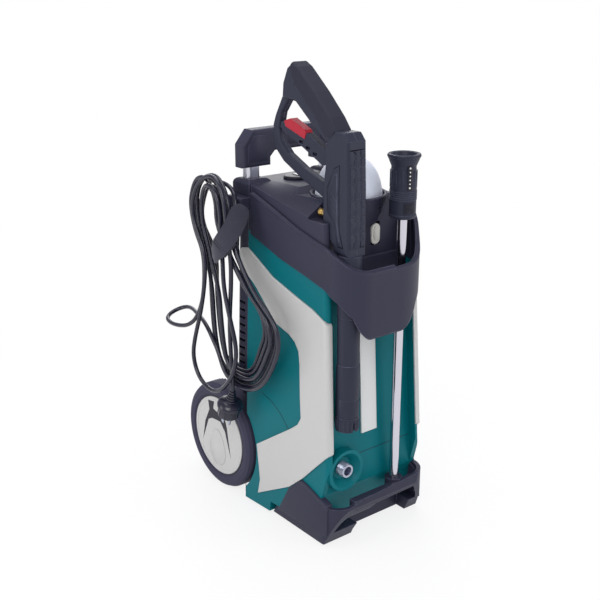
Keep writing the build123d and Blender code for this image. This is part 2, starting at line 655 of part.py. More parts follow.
# ---------------------------------------------------------------- telescoping handle
grip_outline = [(-HANDLE_HALF, POST_BOTTOM), (-HANDLE_HALF, 606.0), (-82.0, HANDLE_TOP), (82.0, HANDLE_TOP),
                (HANDLE_HALF, 606.0), (HANDLE_HALF, POST_BOTTOM), (POST_INNER, POST_BOTTOM),
                (POST_INNER, 583.0), (POST_INNER - 9, GRIP_UNDER), (9 - POST_INNER, GRIP_UNDER),
                (-POST_INNER, 583.0), (-POST_INNER, POST_BOTTOM)]
with BuildPart() as handle_grip:
    add(xz_prism(grip_outline, HANDLE_Y - HANDLE_DEEP / 2, HANDLE_Y + HANDLE_DEEP / 2))
    front_back = handle_grip.faces().filter_by(Axis.Y).edges()
    fillet(front_back, 5)
    for side in (-1, 1):
        add(tube_bar(side, TUBE_WIDE, TUBE_DEEP, POST_BOTTOM - 5, TUBE_HIGH), mode=Mode.SUBTRACT)
keep(handle_grip.part, "handle_grip")

for side, name in ((-1, "handle_tube_left"), (1, "handle_tube_right")):
    with BuildPart() as handle_tube:
        add(tube_bar(side, TUBE_WIDE, TUBE_DEEP, TUBE_LOW, TUBE_HIGH))
        add(tube_bar(side, TUBE_WIDE - 2 * TUBE_WALL, TUBE_DEEP - 2 * TUBE_WALL, TUBE_LOW - 1, TUBE_HIGH + 1),
            mode=Mode.SUBTRACT)
    keep(handle_tube.part, name)

GUIDE_LOW, GUIDE_HIGH = 486.0, 510.0
with BuildPart() as handle_guides:
    for side in (-1, 1):
        x_mid = side * TUBE_X
        add(block(x_mid - 17, x_mid + 17, HANDLE_Y - 12, HANDLE_Y + 12, GUIDE_LOW, GUIDE_HIGH))
    add(hollow_form(WALL), mode=Mode.INTERSECT)
    for side in (-1, 1):
        add(tube_bar(side, TUBE_WIDE + 2 * RUN, TUBE_DEEP + 2 * RUN, 400, 600), mode=Mode.SUBTRACT)
keep(handle_guides.part, "handle_guides")

# ---------------------------------------------------------------- wheels and axle
RIM_WIDTH = 34.0
WHEEL_MID = WHEEL_FACE - TYRE_WIDTH / 2
HUB_R = 16.0
CAP_FACE = WHEEL_FACE - 2.0
HUB_END = WHEEL_FACE - 12.0
AXLE_END = WHEEL_FACE - 9.0
CLIP_R = 9.0


def spun(points, side):
    """A profile of (x, radius) points, given for the right side, spun about the axle."""
    with BuildPart() as ring:
        with BuildSketch(Plane.XZ.offset(-AXLE_Y)):
            with BuildLine():
                Polyline(*[(side * x, AXLE_Z + r) for x, r in points], close=True)
            make_face()
        revolve(axis=Axis((0, AXLE_Y, AXLE_Z), (1, 0, 0)))
    return ring.part


INNER_FACE = WHEEL_FACE - TYRE_WIDTH
tyre_section = [(INNER_FACE + 3, RIM_R), (INNER_FACE, RIM_R + 6), (INNER_FACE, WHEEL_R - 9),
                (INNER_FACE + 3, WHEEL_R - 3), (INNER_FACE + 9, WHEEL_R), (WHEEL_FACE - 9, WHEEL_R),
                (WHEEL_FACE - 3, WHEEL_R - 3), (WHEEL_FACE, WHEEL_R - 10), (WHEEL_FACE - 1, RIM_R + 4),
                (WHEEL_FACE - 3, RIM_R)]
hub_section = [(INNER_FACE + 2, AXLE_R + RUN), (INNER_FACE + 2, HUB_R), (WHEEL_MID - 2, HUB_R),
               (WHEEL_MID - 2, RIM_R - 6), (INNER_FACE + 3, RIM_R - 6), (INNER_FACE + 3, RIM_R),
               (WHEEL_FACE - 3, RIM_R), (WHEEL_FACE - 3, RIM_R - 1.9), (WHEEL_FACE - 8, RIM_R - 1.9),
               (WHEEL_FACE - 8, RIM_R - 6), (WHEEL_MID + 3, RIM_R - 6), (WHEEL_MID + 3, HUB_R),
               (HUB_END, HUB_R), (HUB_END, AXLE_R + RUN)]
cap_section = [(CAP_FACE - 5.7, 0), (CAP_FACE - 5.7, CAP_R), (CAP_FACE - 1.5, CAP_R), (CAP_FACE, CAP_R - 2),
               (CAP_FACE, 0)]
# Dark blades let into the cap, as (rearward, upward) offsets from the axle
blade_a = [(11, 60), (30, 57), (27, 40), (41, 13), (50, -26), (30, 20), (19, 26), (-6, 28), (-20, 14),
           (-36, -32), (-26, 24), (-19, 42), (8, 44), (14, 46)]
INLAY_DEEP = 1.6
for side, hand in ((-1, "left"), (1, "right")):
    keep(spun(tyre_section, side), f"tyre_{hand}")
    keep(spun(hub_section, side), f"wheel_hub_{hand}")
    with BuildPart() as blades:
        x_low = min(side * (CAP_FACE - INLAY_DEEP), side * CAP_FACE)
        with BuildSketch(Plane.YZ.offset(x_low)):
            with BuildLine():
                Polyline(*[(AXLE_Y + y, AXLE_Z + z) for y, z in blade_a], close=True)
            make_face()
        extrude(amount=INLAY_DEEP)
    with BuildPart() as hub_cap:
        add(spun(cap_section, side))
        add(blades.part, mode=Mode.SUBTRACT)
    keep(hub_cap.part, f"hub_cap_{hand}")
    keep(blades.part, f"hub_inlay_{hand}")

keep(cross_rod(-AXLE_END, AXLE_END, AXLE_Y, AXLE_Z, AXLE_R), "axle")
clip_section = [(HUB_END + SEAT, AXLE_R), (HUB_END + SEAT, CLIP_R), (HUB_END + 2, CLIP_R),
                (HUB_END + 2, AXLE_R)]
with BuildPart() as axle_clips:
    add(spun(clip_section, -1))
    add(spun(clip_section, 1))
keep(axle_clips.part, "axle_clips")

# ---------------------------------------------------------------- spray gun
# Side view of the gun as (y, z): body with its grip leaning back, and the closed hand guard.
body_outline = [(-184, BARREL_TOP), (-183, 560), (-180, 638), (-170, 649), (-151, 649), (-130, 630),
                (-131, 600), (-126, 566), (-126, 541), (-126, 520), (-132, 500), (-151, 484),
                (-151, BARREL_TOP)]
grip_side = [(-151, 649), (-137, 666), (-103, 698), (-64, 730), (-52, 736), (-40, 728), (-30, 706),
                (-28, 684), (-48, 682), (-59, 681), (-96, 653), (-130, 630), (-142, 634)]
guard_outer = [(-40, 722), (-30, 706), (-17, 682), (-2, 656), (4, 641), (5, 621), (-2, 604), (-21, 588),
               (-60, 570), (-108, 551), (-132, 541)]
guard_inner = [(-132, 565), (-126, 566), (-68, 585), (-32, 601), (-14, 617), (-10, 637), (-16, 660),
               (-30, 678), (-46, 684)]
GUN_FILLET = 5.0
PIN_Y, PIN_Z, PIN_R = -138.0, 606.0, 2.0
VALVE_Y, VALVE_R = -155.0, 9.0
VALVE_LOW, VALVE_HIGH = 500.0, 622.0
SLOT_HALF = 6.0
STUB_X, STUB_BACK, STUB_Z, STUB_R = -72.0, -113.0, 527.0, 5.0
INLAY_PROUD = 1.0


def rounded_plate(points, half, radius):
    """A side-view polygon as a plate about the gun's middle plane, with rounded long edges."""
    with BuildPart() as plate:
        add(yz_prism(points, GUN_X - half, GUN_X + half))
        fillet(plate.faces().filter_by(Axis.X).edges(), radius)
    return plate.part


gun_body = rounded_plate(body_outline, GUN_HALF, GUN_FILLET)
gun_grip = rounded_plate(grip_side, GRIP_HALF, GUN_FILLET)
gun_guard = rounded_plate(guard_outer + guard_inner, GUARD_HALF, 2.5)
with BuildPart() as gun_solid:
    add(gun_body)
    add(gun_grip)
    add(gun_guard)
    # Room for the valve, the trigger's root and its pin, and the barrel's spigot
    add(rod(GUN_X, VALVE_Y, VALVE_LOW, VALVE_HIGH, VALVE_R + SEAM), mode=Mode.SUBTRACT)
    add(yz_prism([(-114, 588), (-114, 626), (-145, 626), (-145, 588)], GUN_X - SLOT_HALF - 1,
                 GUN_X + SLOT_HALF + 1), mode=Mode.SUBTRACT)
    add(cross_rod(GUN_X - 12, GUN_X + 12, PIN_Y, PIN_Z, PIN_R + RUN), mode=Mode.SUBTRACT)
    add(rod(GUN_X, BARREL_Y, BARREL_TOP - 10, BARREL_TOP + 20, 10), mode=Mode.SUBTRACT)
    add(rod(GUN_X, VALVE_Y, BARREL_TOP + 10, VALVE_LOW + 1, 4), mode=Mode.SUBTRACT)
# Soft grip let over the front and sides of the pistol grip
soft_area = [(-48, 745), (-52, 722), (-58, 706), (-106, 666), (-130, 640), (-144, 636), (-154, 645),
             (-152, 660), (-102, 745)]
with BuildPart() as grown_grip:
    with BuildSketch(Plane.YZ.offset(GUN_X - GRIP_HALF - INLAY_PROUD)):
        with BuildLine():
            Polyline(*grip_side, close=True)
        make_face()
        offset(amount=INLAY_PROUD)
    extrude(amount=2 * (GRIP_HALF + INLAY_PROUD))
    fillet(grown_grip.faces().filter_by(Axis.X).edges(), GUN_FILLET + INLAY_PROUD)
with BuildPart() as gun_soft_grip:
    add(grown_grip.part)
    add(yz_prism(soft_area, GUN_X - 30, GUN_X + 30), mode=Mode.INTERSECT)
    add(gun_body, mode=Mode.SUBTRACT)
    add(gun_grip, mode=Mode.SUBTRACT)
keep(gun_soft_grip.part, "gun_soft_grip")
half_gap = 0.1
for side, name in ((-1, "gun_shell_left"), (1, "gun_shell_right")):
    with BuildPart() as gun_shell:
        add(gun_solid.part)
        near = min(GUN_X + side * half_gap, GUN_X + side * 60)
        add(block(near, near + 60 - half_gap, -300, 100, 400, 800), mode=Mode.INTERSECT)
    keep(gun_shell.part, name)

with BuildPart() as gun_barrel:
    add(rod(GUN_X, BARREL_Y, BARREL_BOTTOM + COLLAR_TALL + SEAT, BARREL_TOP - 0.1, BARREL_R - 1))
    add(rod(GUN_X, BARREL_Y, BARREL_TOP - 1, BARREL_TOP + 19, 9.8))
    add(rod(GUN_X, BARREL_Y, BARREL_BOTTOM + 8, BARREL_BOTTOM + COLLAR_TALL + 1, 11))
    add(rod(GUN_X, BARREL_Y, 200, 500, 3), mode=Mode.SUBTRACT)
keep(gun_barrel.part, "gun_barrel")

with BuildPart() as gun_collar:
    add(rod(GUN_X, BARREL_Y, BARREL_BOTTOM, BARREL_BOTTOM + COLLAR_TALL, BARREL_R))
    add(rod(GUN_X, BARREL_Y, BARREL_BOTTOM - 1, BARREL_BOTTOM + COLLAR_TALL + 1, 11 + RUN), mode=Mode.SUBTRACT)
    add(block(GUN_X - 3, GUN_X + 3, BARREL_Y - 30, BARREL_Y, BARREL_BOTTOM - 1, BARREL_BOTTOM + 15),
        mode=Mode.SUBTRACT)
keep(gun_collar.part, "gun_collar")

with BuildPart() as gun_inlet:
    with BuildSketch(Plane.XZ.offset(-STUB_BACK)):
        with Locations((STUB_X, STUB_Z)):
            Circle(STUB_R)
    extrude(amount=22)
    add(gun_solid.part, mode=Mode.SUBTRACT)
    with BuildSketch(Plane.XZ.offset(-STUB_BACK)):
        with Locations((STUB_X, STUB_Z)):
            Circle(STUB_R - 2)
    extrude(amount=8, mode=Mode.SUBTRACT)
keep(gun_inlet.part, "gun_inlet")

trigger_side = [(-143, 611), (-128, 613), (-114, 619), (-76, 637), (-72, 627), (-25, 641), (-22, 648),
                (-16, 647), (-14, 640), (-18, 634), (-51, 622), (-112, 595), (-128, 598), (-143, 601)]
with BuildPart() as gun_trigger:
    add(yz_prism(trigger_side, GUN_X - SLOT_HALF, GUN_X + SLOT_HALF))
    fillet(gun_trigger.edges().filter_by(Axis.X), 1.2)
    for y in (-100, -84, -68):
        z = 606 + (y + 100) * 0.43
        add(block(GUN_X - SLOT_HALF - 1, GUN_X - 1, y, y + 11, z, z + 5), mode=Mode.SUBTRACT)
        add(block(GUN_X + 1, GUN_X + SLOT_HALF + 1, y, y + 11, z, z + 5), mode=Mode.SUBTRACT)
    add(cross_rod(GUN_X - 20, GUN_X + 20, PIN_Y, PIN_Z, PIN_R + RUN), mode=Mode.SUBTRACT)
keep(gun_trigger.part, "gun_trigger")
keep(cross_rod(GUN_X - 12, GUN_X + 12, PIN_Y, PIN_Z, PIN_R), "trigger_pin")

lock_side = [(-71.4, 627.7), (-74.6, 637.2), (-72, 641), (-38, 654), (-23, 649), (-26, 641.1)]
with BuildPart() as trigger_lock:
    add(yz_prism(lock_side, GUN_X - SLOT_HALF - 0.5, GUN_X + SLOT_HALF + 0.5))
    fillet(trigger_lock.edges().filter_by(Axis.X), 1.0)
keep(trigger_lock.part, "trigger_lock")

with BuildPart() as gun_valve:
    add(rod(GUN_X, VALVE_Y, VALVE_LOW, VALVE_HIGH, VALVE_R))
keep(gun_valve.part, "gun_valve")

# ---------------------------------------------------------------- lance
LANCE_FOOT = 52.0
head_section = [(LANCE_R, HEAD_BOTTOM), (HEAD_R - 2, HEAD_BOTTOM), (HEAD_R, HEAD_BOTTOM + 3), (HEAD_R, 566),
                (HEAD_R - 1, 582), (HEAD_R - 1.5, 590), (MOUTH_R - 1, HEAD_TOP - 6), (MOUTH_R, HEAD_TOP - 2),
                (MOUTH_R - 2, HEAD_TOP), (MOUTH_R - 5, HEAD_TOP), (HEAD_R - 7, 592), (9, 584), (9, 574),
                (LANCE_R, 574)]


def upright_spin(x, y, points):
    """A (radius, z) profile spun about an upright axis."""
    with BuildPart() as spun_part:
        with BuildSketch(Plane.XZ):
            with BuildLine():
                Polyline(*points, close=True)
            make_face()
        revolve(axis=Axis.Z)
    return spun_part.part.moved(Location((x, y, 0)))


with BuildPart() as lance_head:
    add(upright_spin(LANCE_X, LANCE_Y, head_section))
    add(rod(LANCE_X, LANCE_Y, 500, 700, LANCE_R), mode=Mode.SUBTRACT)
keep(lance_head.part, "lance_head")
with BuildPart() as lance_tube:
    add(rod(LANCE_X, LANCE_Y, LANCE_FOOT + 10, 572, LANCE_R))
    add(rod(LANCE_X, LANCE_Y, 0, 600, LANCE_R - 1.2), mode=Mode.SUBTRACT)
keep(lance_tube.part, "lance_tube")
with BuildPart() as lance_foot:
    add(rod(LANCE_X, LANCE_Y, LANCE_FOOT, LANCE_FOOT + 10, LANCE_R))
    add(rod(LANCE_X, LANCE_Y, LANCE_FOOT, LANCE_FOOT + 24, LANCE_R - 1.2))
    add(rod(LANCE_X, LANCE_Y, 0, 600, 3), mode=Mode.SUBTRACT)
keep(lance_foot.part, "lance_foot")
with BuildPart() as lance_nozzle:
    add(rod(LANCE_X, LANCE_Y, 560, 573, LANCE_R - 1.2))
    add(rod(LANCE_X, LANCE_Y, 572, 583, 6))
    add(rod(LANCE_X, LANCE_Y, 0, 700, 1.5), mode=Mode.SUBTRACT)
keep(lance_nozzle.part, "lance_nozzle")

# ---------------------------------------------------------------- motor and pump
MOTOR_Y = -44.0
MOTOR_R = 44.0
MOTOR_LOW, MOTOR_HIGH = 212.0, 330.0
SHAFT_R = 6.0
with BuildPart() as motor_can:
    add(rod(0, MOTOR_Y, MOTOR_LOW, MOTOR_HIGH, MOTOR_R))
    add(rod(0, MOTOR_Y, MOTOR_LOW + 6, MOTOR_HIGH - 6, MOTOR_R - 3), mode=Mode.SUBTRACT)
    add(rod(0, MOTOR_Y, 100, 400, SHAFT_R + RUN), mode=Mode.SUBTRACT)
keep(motor_can.part, "motor_can")
with BuildPart() as rotor:
    add(rod(0, MOTOR_Y, 176, 356, SHAFT_R))
    add(rod(0, MOTOR_Y, MOTOR_LOW + 18, MOTOR_HIGH - 22, 26))
keep(rotor.part, "rotor")
with BuildPart() as cooling_fan:
    add(rod(0, MOTOR_Y, 336, 352, 13))
    add(rod(0, MOTOR_Y, 336, 338.5, 38))
    for blade in range(9):
        angle = math.radians(40 * blade)
        with BuildSketch(Plane(origin=(0, MOTOR_Y, 338), x_dir=(math.cos(angle), math.sin(angle), 0),
                               z_dir=(0, 0, 1))):
            with Locations((25, 0)):
                Rectangle(26, 1.6, rotation=18)
        extrude(amount=13)
    add(rod(0, MOTOR_Y, 300, 400, SHAFT_R), mode=Mode.SUBTRACT)
keep(cooling_fan.part, "cooling_fan")
with BuildPart() as pump_housing:
    add(rod(0, MOTOR_Y, 150, MOTOR_LOW, 40))
    add(rod(0, MOTOR_Y, 160, 213, 30), mode=Mode.SUBTRACT)
    add(block(-34, 34, MOTOR_Y - 34, MOTOR_Y + 34, 92, 150))
    add(block(-24, 24, MOTOR_Y - 24, MOTOR_Y + 24, CAVITY_FLOOR, 92))
    add(block(-52, 52, MOTOR_Y - 10, MOTOR_Y + 10, CAVITY_FLOOR, CAVITY_FLOOR + 8))
keep(pump_housing.part, "pump_housing")
with BuildPart() as wobble_plate:
    add(rod(0, MOTOR_Y, 164, 176, 26))
    with BuildSketch(Plane(origin=(0, MOTOR_Y, 164), z_dir=(0.16, 0, 1))):
        Circle(27)
    extrude(amount=-20, mode=Mode.SUBTRACT)
keep(wobble_plate.part, "wobble_plate")
PIPE_R = 8.0
with BuildPart() as outlet_pipe:
    with BuildLine() as path:
        FilletPolyline((OUTLET_X, OUTLET_BACK + 9, OUTLET_Z), (OUTLET_X, MOTOR_Y - 8, OUTLET_Z),
                       (-34, MOTOR_Y - 8, OUTLET_Z), radius=14)
    with BuildSketch(Plane(origin=path.line @ 0, z_dir=path.line % 0)):
        Circle(PIPE_R)
    sweep(path=path.line)
keep(outlet_pipe.part, "outlet_pipe")
with BuildPart() as inlet_pipe:
    with BuildLine() as path:
        FilletPolyline((INLET_X, TAIL_BACK - 10, INLET_Z), (INLET_X, 74, INLET_Z), (24, 24, INLET_Z - 6),
                       (24, MOTOR_Y + 34, INLET_Z - 6), radius=14)
    with BuildSketch(Plane(origin=path.line @ 0, z_dir=path.line % 0)):
        Circle(PIPE_R)
    sweep(path=path.line)
keep(inlet_pipe.part, "inlet_pipe")

# ---------------------------------------------------------------- housing screws
with BuildPart() as housing_screws:
    for x in (-SCREW_X, SCREW_X):
        for z in SCREW_Z:
            add(deep_rod(x, z, REAR - 28, REAR - 3, SCREW_R))
            add(deep_rod(x, z, REAR - 4, REAR - 1, SCREW_HEAD_R))
            add(deep_rod(x, z, REAR - 2.4, REAR, 1.6), mode=Mode.SUBTRACT)
keep(housing_screws.part, "housing_screws")

# ---------------------------------------------------------------- mains cord, stored on the left
CORD_D = 7.0
HOOK_OUT = 117.5
HOOK_FRONT, HOOK_BACK, HOOK_LOW, HOOK_HIGH = 25.0, 64.0, 508.0, 528.0
with BuildPart() as cord_hook_upper:
    add(block(-HOOK_OUT, -HANDLE_HALF + 1, HOOK_FRONT, HOOK_BACK, HOOK_LOW, HOOK_HIGH))
    fillet(cord_hook_upper.faces().sort_by(Axis.X)[0].edges(), 4)
    add(block(-HOOK_OUT + 5, -HANDLE_HALF - 4, HOOK_FRONT + 8, HOOK_BACK - 8, HOOK_LOW - 1, HOOK_HIGH - 5),
        mode=Mode.SUBTRACT)
keep(cord_hook_upper.part, "cord_hook_upper")

LOWER_Z = 246.0
lower_x = at_height(LOWER_Z, HALF_REAR_LOW, HALF_REAR_TOP)
with BuildPart() as cord_hook_lower:
    add(block(-HOOK_OUT, -lower_x + 6, 44, 56, LOWER_Z - 14, LOWER_Z))
    add(block(-HOOK_OUT, -HOOK_OUT + 4, 38, 62, LOWER_Z - 26, LOWER_Z + 4))
    fillet(cord_hook_lower.edges().filter_by(Axis.X), 3)
    add(outer, mode=Mode.SUBTRACT)
keep(cord_hook_lower.part, "cord_hook_lower")

GLAND_END = REAR + 18
with BuildPart() as cord_gland:
    with BuildSketch(Plane.XZ.offset(-REAR + WALL)):
        with Locations((GLAND_X, GLAND_Z)):
            Circle(GLAND_R)
    extrude(amount=-WALL)
    with BuildSketch(Plane.XZ.offset(-REAR)):
        with Locations((GLAND_X, GLAND_Z)):
            Circle(GLAND_R + 3)
    extrude(amount=-3)
    with BuildSketch(Plane.XZ.offset(-REAR - 3)):
        with Locations((GLAND_X, GLAND_Z)):
            Circle(CORD_D / 2 + 4)
    with BuildSketch(Plane.XZ.offset(-GLAND_END)):
        with Locations((GLAND_X, GLAND_Z)):
            Circle(CORD_D / 2 + 1)
    loft()
keep(cord_gland.part, "cord_gland")

# The lead leaves the gland, turns round in one half circle that rises and runs outward, and
# passes over the upper hook onto the hank.
LEAD_ROUTE = [(GLAND_X, GLAND_END, GLAND_Z), (GLAND_X, 105.8, GLAND_Z), (-67.7, 126.2, 486.9),
              (-81.1, 138.0, 502.3), (-96.7, 138.0, 520.1), (-110.1, 126.2, 535.5), (-117.8, 105.8, 544.4),
              (-118.0, 80.0, 547.0), (-119.5, 56.0, 545.0), (-122.0, 36.0, 534.0), (-124.5, 26.0, 512.0)]


def bend_radii(route):
    """The largest arc at each corner of a cord: 0.45 of its shorter run over the tangent of half the turn."""
    points = [Vector(*p) for p in route]
    radii = []
    for before, here, after in zip(points, points[1:], points[2:]):
        turn = math.radians((here - before).get_angle(after - here))
        shorter = min((here - before).length, (after - here).length)
        radii.append(0.45 * shorter / math.tan(turn / 2))
    return radii


lead_radii = bend_radii(LEAD_ROUTE)
print("lead bend radii", [round(r) for r in lead_radii])
with BuildPart() as cord_lead:
    with BuildLine() as path:
        FilletPolyline(*LEAD_ROUTE, radius=lead_radii)
    with BuildSketch(Plane(origin=path.line @ 0, z_dir=path.line % 0)):
        Circle(CORD_D / 2)
    sweep(path=path.line)
keep(cord_lead.part, "cord_lead")

# The wound cord: its outer shape, with one turn's slack kinked out to the rear
HANK_IN, HANK_OUT = -120.5, -152.0
hank_outline = [(18, 545), (40, 566), (68, 571), (104, 562), (138, 532), (154, 490), (150, 448), (130, 408),
                (122, 370), (134, 310), (143, 258), (130, 214), (98, 199), (62, 200), (30, 214), (0, 216),
                (-50, 230), (-92, 278), (-104, 330), (-84, 372), (-34, 408), (-2, 450), (12, 500)]
with BuildPart() as cord_hank:
    with BuildSketch(Plane.YZ.offset(HANK_OUT)):
        with BuildLine():
            Spline(*hank_outline, periodic=True)
        make_face()
    extrude(amount=HANK_IN - HANK_OUT)
    with BuildSketch(Plane.YZ.offset(HANK_OUT)):
        with Locations((162, 297)):
            SlotOverall(116, 46)
    extrude(amount=HANK_IN - HANK_OUT)
    chamfer(cord_hank.faces().filter_by(Axis.X).edges(), 3)
keep(cord_hank.part, "cord_hank")

# The strap hangs from the upper hook, runs out to the face of the hank and down across it
STRAP_THICK, STRAP_WIDE = 2.5, 26.0
STRAP_ROOT = Vector(-HOOK_OUT + 1, 27, 514)
STRAP_BEND = Vector(HANK_OUT, -2, 491)
STRAP_END = Vector(HANK_OUT, 56, 388)
across = Vector(-1, 0, 0).cross(STRAP_END - STRAP_BEND).normalized()
with BuildPart() as cord_strap:
    ramp = STRAP_BEND - STRAP_ROOT
    with BuildSketch(Plane(origin=STRAP_ROOT + ramp * 0.5, x_dir=ramp.normalized(),
                           z_dir=across.cross(ramp).normalized())):
        Rectangle(ramp.length + 2, STRAP_WIDE)
    extrude(amount=STRAP_THICK)
    fall = STRAP_END - STRAP_BEND
    with BuildSketch(Plane(origin=STRAP_BEND + fall * 0.5, x_dir=fall.normalized(), z_dir=(-1, 0, 0))):
        SlotOverall(fall.length + STRAP_WIDE, STRAP_WIDE)
    extrude(amount=STRAP_THICK)
    add(cord_hank.part, mode=Mode.SUBTRACT)
    add(cord_hook_upper.part, mode=Mode.SUBTRACT)
keep(cord_strap.part, "cord_strap")

PLUG_R, PLUG_LONG = 22.0, 30.0
RELIEF_TOP = Vector(-147, 16, 218)
PLUG_NECK = Vector(-146, 27, 186)
plug_axis = (PLUG_NECK - RELIEF_TOP).normalized()
with BuildPart() as plug:
    with BuildSketch(Plane(origin=RELIEF_TOP, z_dir=plug_axis)):
        Circle(CORD_D / 2 + 1)
    with BuildSketch(Plane(origin=PLUG_NECK, z_dir=plug_axis)):
        Circle(12)
    loft()
    with BuildSketch(Plane(origin=PLUG_NECK, z_dir=plug_axis)):
        Circle(PLUG_R - 5)
    with BuildSketch(Plane(origin=PLUG_NECK + plug_axis * 8, z_dir=plug_axis)):
        Circle(PLUG_R)
    loft()
    with BuildSketch(Plane(origin=PLUG_NECK + plug_axis * 8, z_dir=plug_axis)):
        Circle(PLUG_R)
    extrude(amount=PLUG_LONG - 8)
    with BuildSketch(Plane(origin=PLUG_NECK + plug_axis * PLUG_LONG, x_dir=(1, 0, 0), z_dir=plug_axis)):
        with Locations((-6.4, 3), (6.4, 3)):
            Rectangle(1.6, 6.5)
        with Locations((0, -7)):
            Circle(2.4)
    extrude(amount=16)
keep(plug.part, "plug")
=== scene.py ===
"""Finish, cord and fine detail of an upright pressure washer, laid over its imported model."""

import json
import math

import bmesh
import bpy
from bpy.props import FloatProperty, FloatVectorProperty, IntProperty, PointerProperty
from mathutils import Matrix, Vector


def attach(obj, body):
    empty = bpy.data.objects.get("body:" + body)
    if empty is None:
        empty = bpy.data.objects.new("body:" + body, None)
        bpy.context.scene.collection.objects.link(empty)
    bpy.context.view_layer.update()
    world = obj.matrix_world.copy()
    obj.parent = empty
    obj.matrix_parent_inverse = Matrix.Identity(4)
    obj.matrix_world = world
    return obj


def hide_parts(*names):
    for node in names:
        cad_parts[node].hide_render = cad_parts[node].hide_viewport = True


bl_info = {
    "name": "Pressure Washer Dresser",
    "version": (1, 0, 0),
    "blender": (4, 5, 0),
    "location": "View3D > Sidebar > Washer",
    "description": "Gives a packed pressure washer its materials, mains cord and fine detail",
    "category": "Object",
}

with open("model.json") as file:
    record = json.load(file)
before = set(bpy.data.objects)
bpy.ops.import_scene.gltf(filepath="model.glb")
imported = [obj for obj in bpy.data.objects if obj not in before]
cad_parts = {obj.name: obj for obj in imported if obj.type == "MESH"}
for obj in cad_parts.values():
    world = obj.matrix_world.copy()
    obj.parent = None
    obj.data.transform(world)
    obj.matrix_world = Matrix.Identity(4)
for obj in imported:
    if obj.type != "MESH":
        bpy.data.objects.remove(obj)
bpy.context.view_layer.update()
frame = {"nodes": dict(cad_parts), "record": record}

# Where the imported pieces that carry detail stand, in metres
GUN_X = -0.063
BARREL_Y = -0.1685
LANCE = Vector((0.040, -0.168, 0.0))
AXLE = Vector((0.0, 0.108, 0.094))
BOTTLE = Vector((0.0, -0.092, 0.0))
OUTLET = Vector((-0.060, 0.0, 0.122))
INLET = Vector((0.040, 0.0, 0.128))
GLAND = Vector((-0.060, 0.0660, 0.478))

FORWARD = (0, -1, 0)
REARWARD = (0, 1, 0)

# Route of the mains lead from the gland to the hank, as control points in metres
LEAD_ROUTE = (
    (-0.0600, 0.0840, 0.4780), (-0.0600, 0.1058, 0.4780), (-0.0677, 0.1262, 0.4869),
    (-0.0811, 0.1380, 0.5023), (-0.0967, 0.1380, 0.5201), (-0.1101, 0.1262, 0.5355),
    (-0.1178, 0.1058, 0.5444), (-0.1165, 0.0820, 0.5460), (-0.1160, 0.0600, 0.5440),
    (-0.1185, 0.0420, 0.5360), (-0.1230, 0.0290, 0.5160),
)

# One row for each turn of the hank: x of its plane, y of its right side, right waist and bulge,
# height and y of its bottom, y of its left side, left waist, left middle and top, and its height
HANK_TURNS = (
    (-0.1245, 0.0240, 0.0305, -0.0683, 0.2301, 0.0150, 0.1020, 0.1068, 0.1500, 0.1000, 0.5521),
    (-0.1245, 0.0618, 0.0506, -0.0458, 0.2475, 0.0140, 0.0851, 0.0843, 0.1330, 0.1010, 0.5370),
    (-0.1320, 0.0612, 0.0347, -0.0633, 0.2461, 0.0040, 0.0700, 0.0821, 0.1150, 0.0840, 0.5424),
    (-0.1320, 0.0435, 0.0146, -0.0842, 0.2297, 0.0000, 0.0869, 0.1038, 0.1279, 0.0740, 0.5609),
    (-0.1395, 0.0254, -0.0010, -0.1000, 0.2282, -0.0100, 0.0720, 0.1020, 0.1350, 0.0960, 0.5560),
    (-0.1395, 0.0615, 0.0182, -0.0806, 0.2461, -0.0120, 0.0551, 0.0800, 0.1010, 0.0780, 0.5367),
)

# A slack loop kinked out to the rear half way up the fifth turn
KINK = (
    (-0.1395, 0.0800, 0.2860), (-0.1380, 0.0980, 0.3020), (-0.1310, 0.1260, 0.3090),
    (-0.1230, 0.1540, 0.3090), (-0.1160, 0.1770, 0.3085), (-0.1125, 0.1990, 0.3055),
    (-0.1195, 0.2130, 0.3005), (-0.1365, 0.2165, 0.2945), (-0.1520, 0.2050, 0.2905),
    (-0.1570, 0.1820, 0.2895), (-0.1560, 0.1570, 0.2920), (-0.1525, 0.1340, 0.2985),
    (-0.1490, 0.1130, 0.3160), (-0.1460, 0.0970, 0.3500), (-0.1430, 0.0940, 0.3920),
    (-0.1400, 0.1000, 0.4320),
)

# The end of the sixth turn, and the loose front turn that ends at the plug
SIXTH_END = ((-0.1410, 0.0990, 0.5180), (-0.1440, 0.0870, 0.5390), (-0.1470, 0.0690, 0.5480))
FRONT_TURN = (
    (-0.1470, 0.0490, 0.5400), (-0.1470, 0.0390, 0.5130), (-0.1475, 0.0380, 0.4800),
    (-0.1490, 0.0320, 0.4360), (-0.1540, 0.0240, 0.3920), (-0.1560, 0.0050, 0.3460),
    (-0.1560, -0.0110, 0.3040),
    (-0.1560, -0.0060, 0.2660), (-0.1560, 0.0190, 0.2290), (-0.1560, 0.0500, 0.2060),
    (-0.1560, 0.0790, 0.2060), (-0.1560, 0.1050, 0.2200), (-0.1560, 0.1180, 0.2510),
    (-0.1560, 0.1090, 0.2860), (-0.1550, 0.0880, 0.3400), (-0.1500, 0.0820, 0.3920),
    (-0.1470, 0.0840, 0.4360), (-0.1470, 0.1080, 0.4660), (-0.1470, 0.1200, 0.5040),
    (-0.1470, 0.1040, 0.5400), (-0.1470, 0.0760, 0.5600), (-0.1470, 0.0480, 0.5620),
    (-0.1475, 0.0260, 0.5340), (-0.1475, 0.0220, 0.4860), (-0.1470, 0.0120, 0.4400),
    (-0.1465, 0.0140, 0.3950), (-0.1470, 0.0200, 0.3400), (-0.1475, 0.0180, 0.2800),
    (-0.1475, 0.0140, 0.2450), (-0.1470, 0.0160, 0.2180),
)


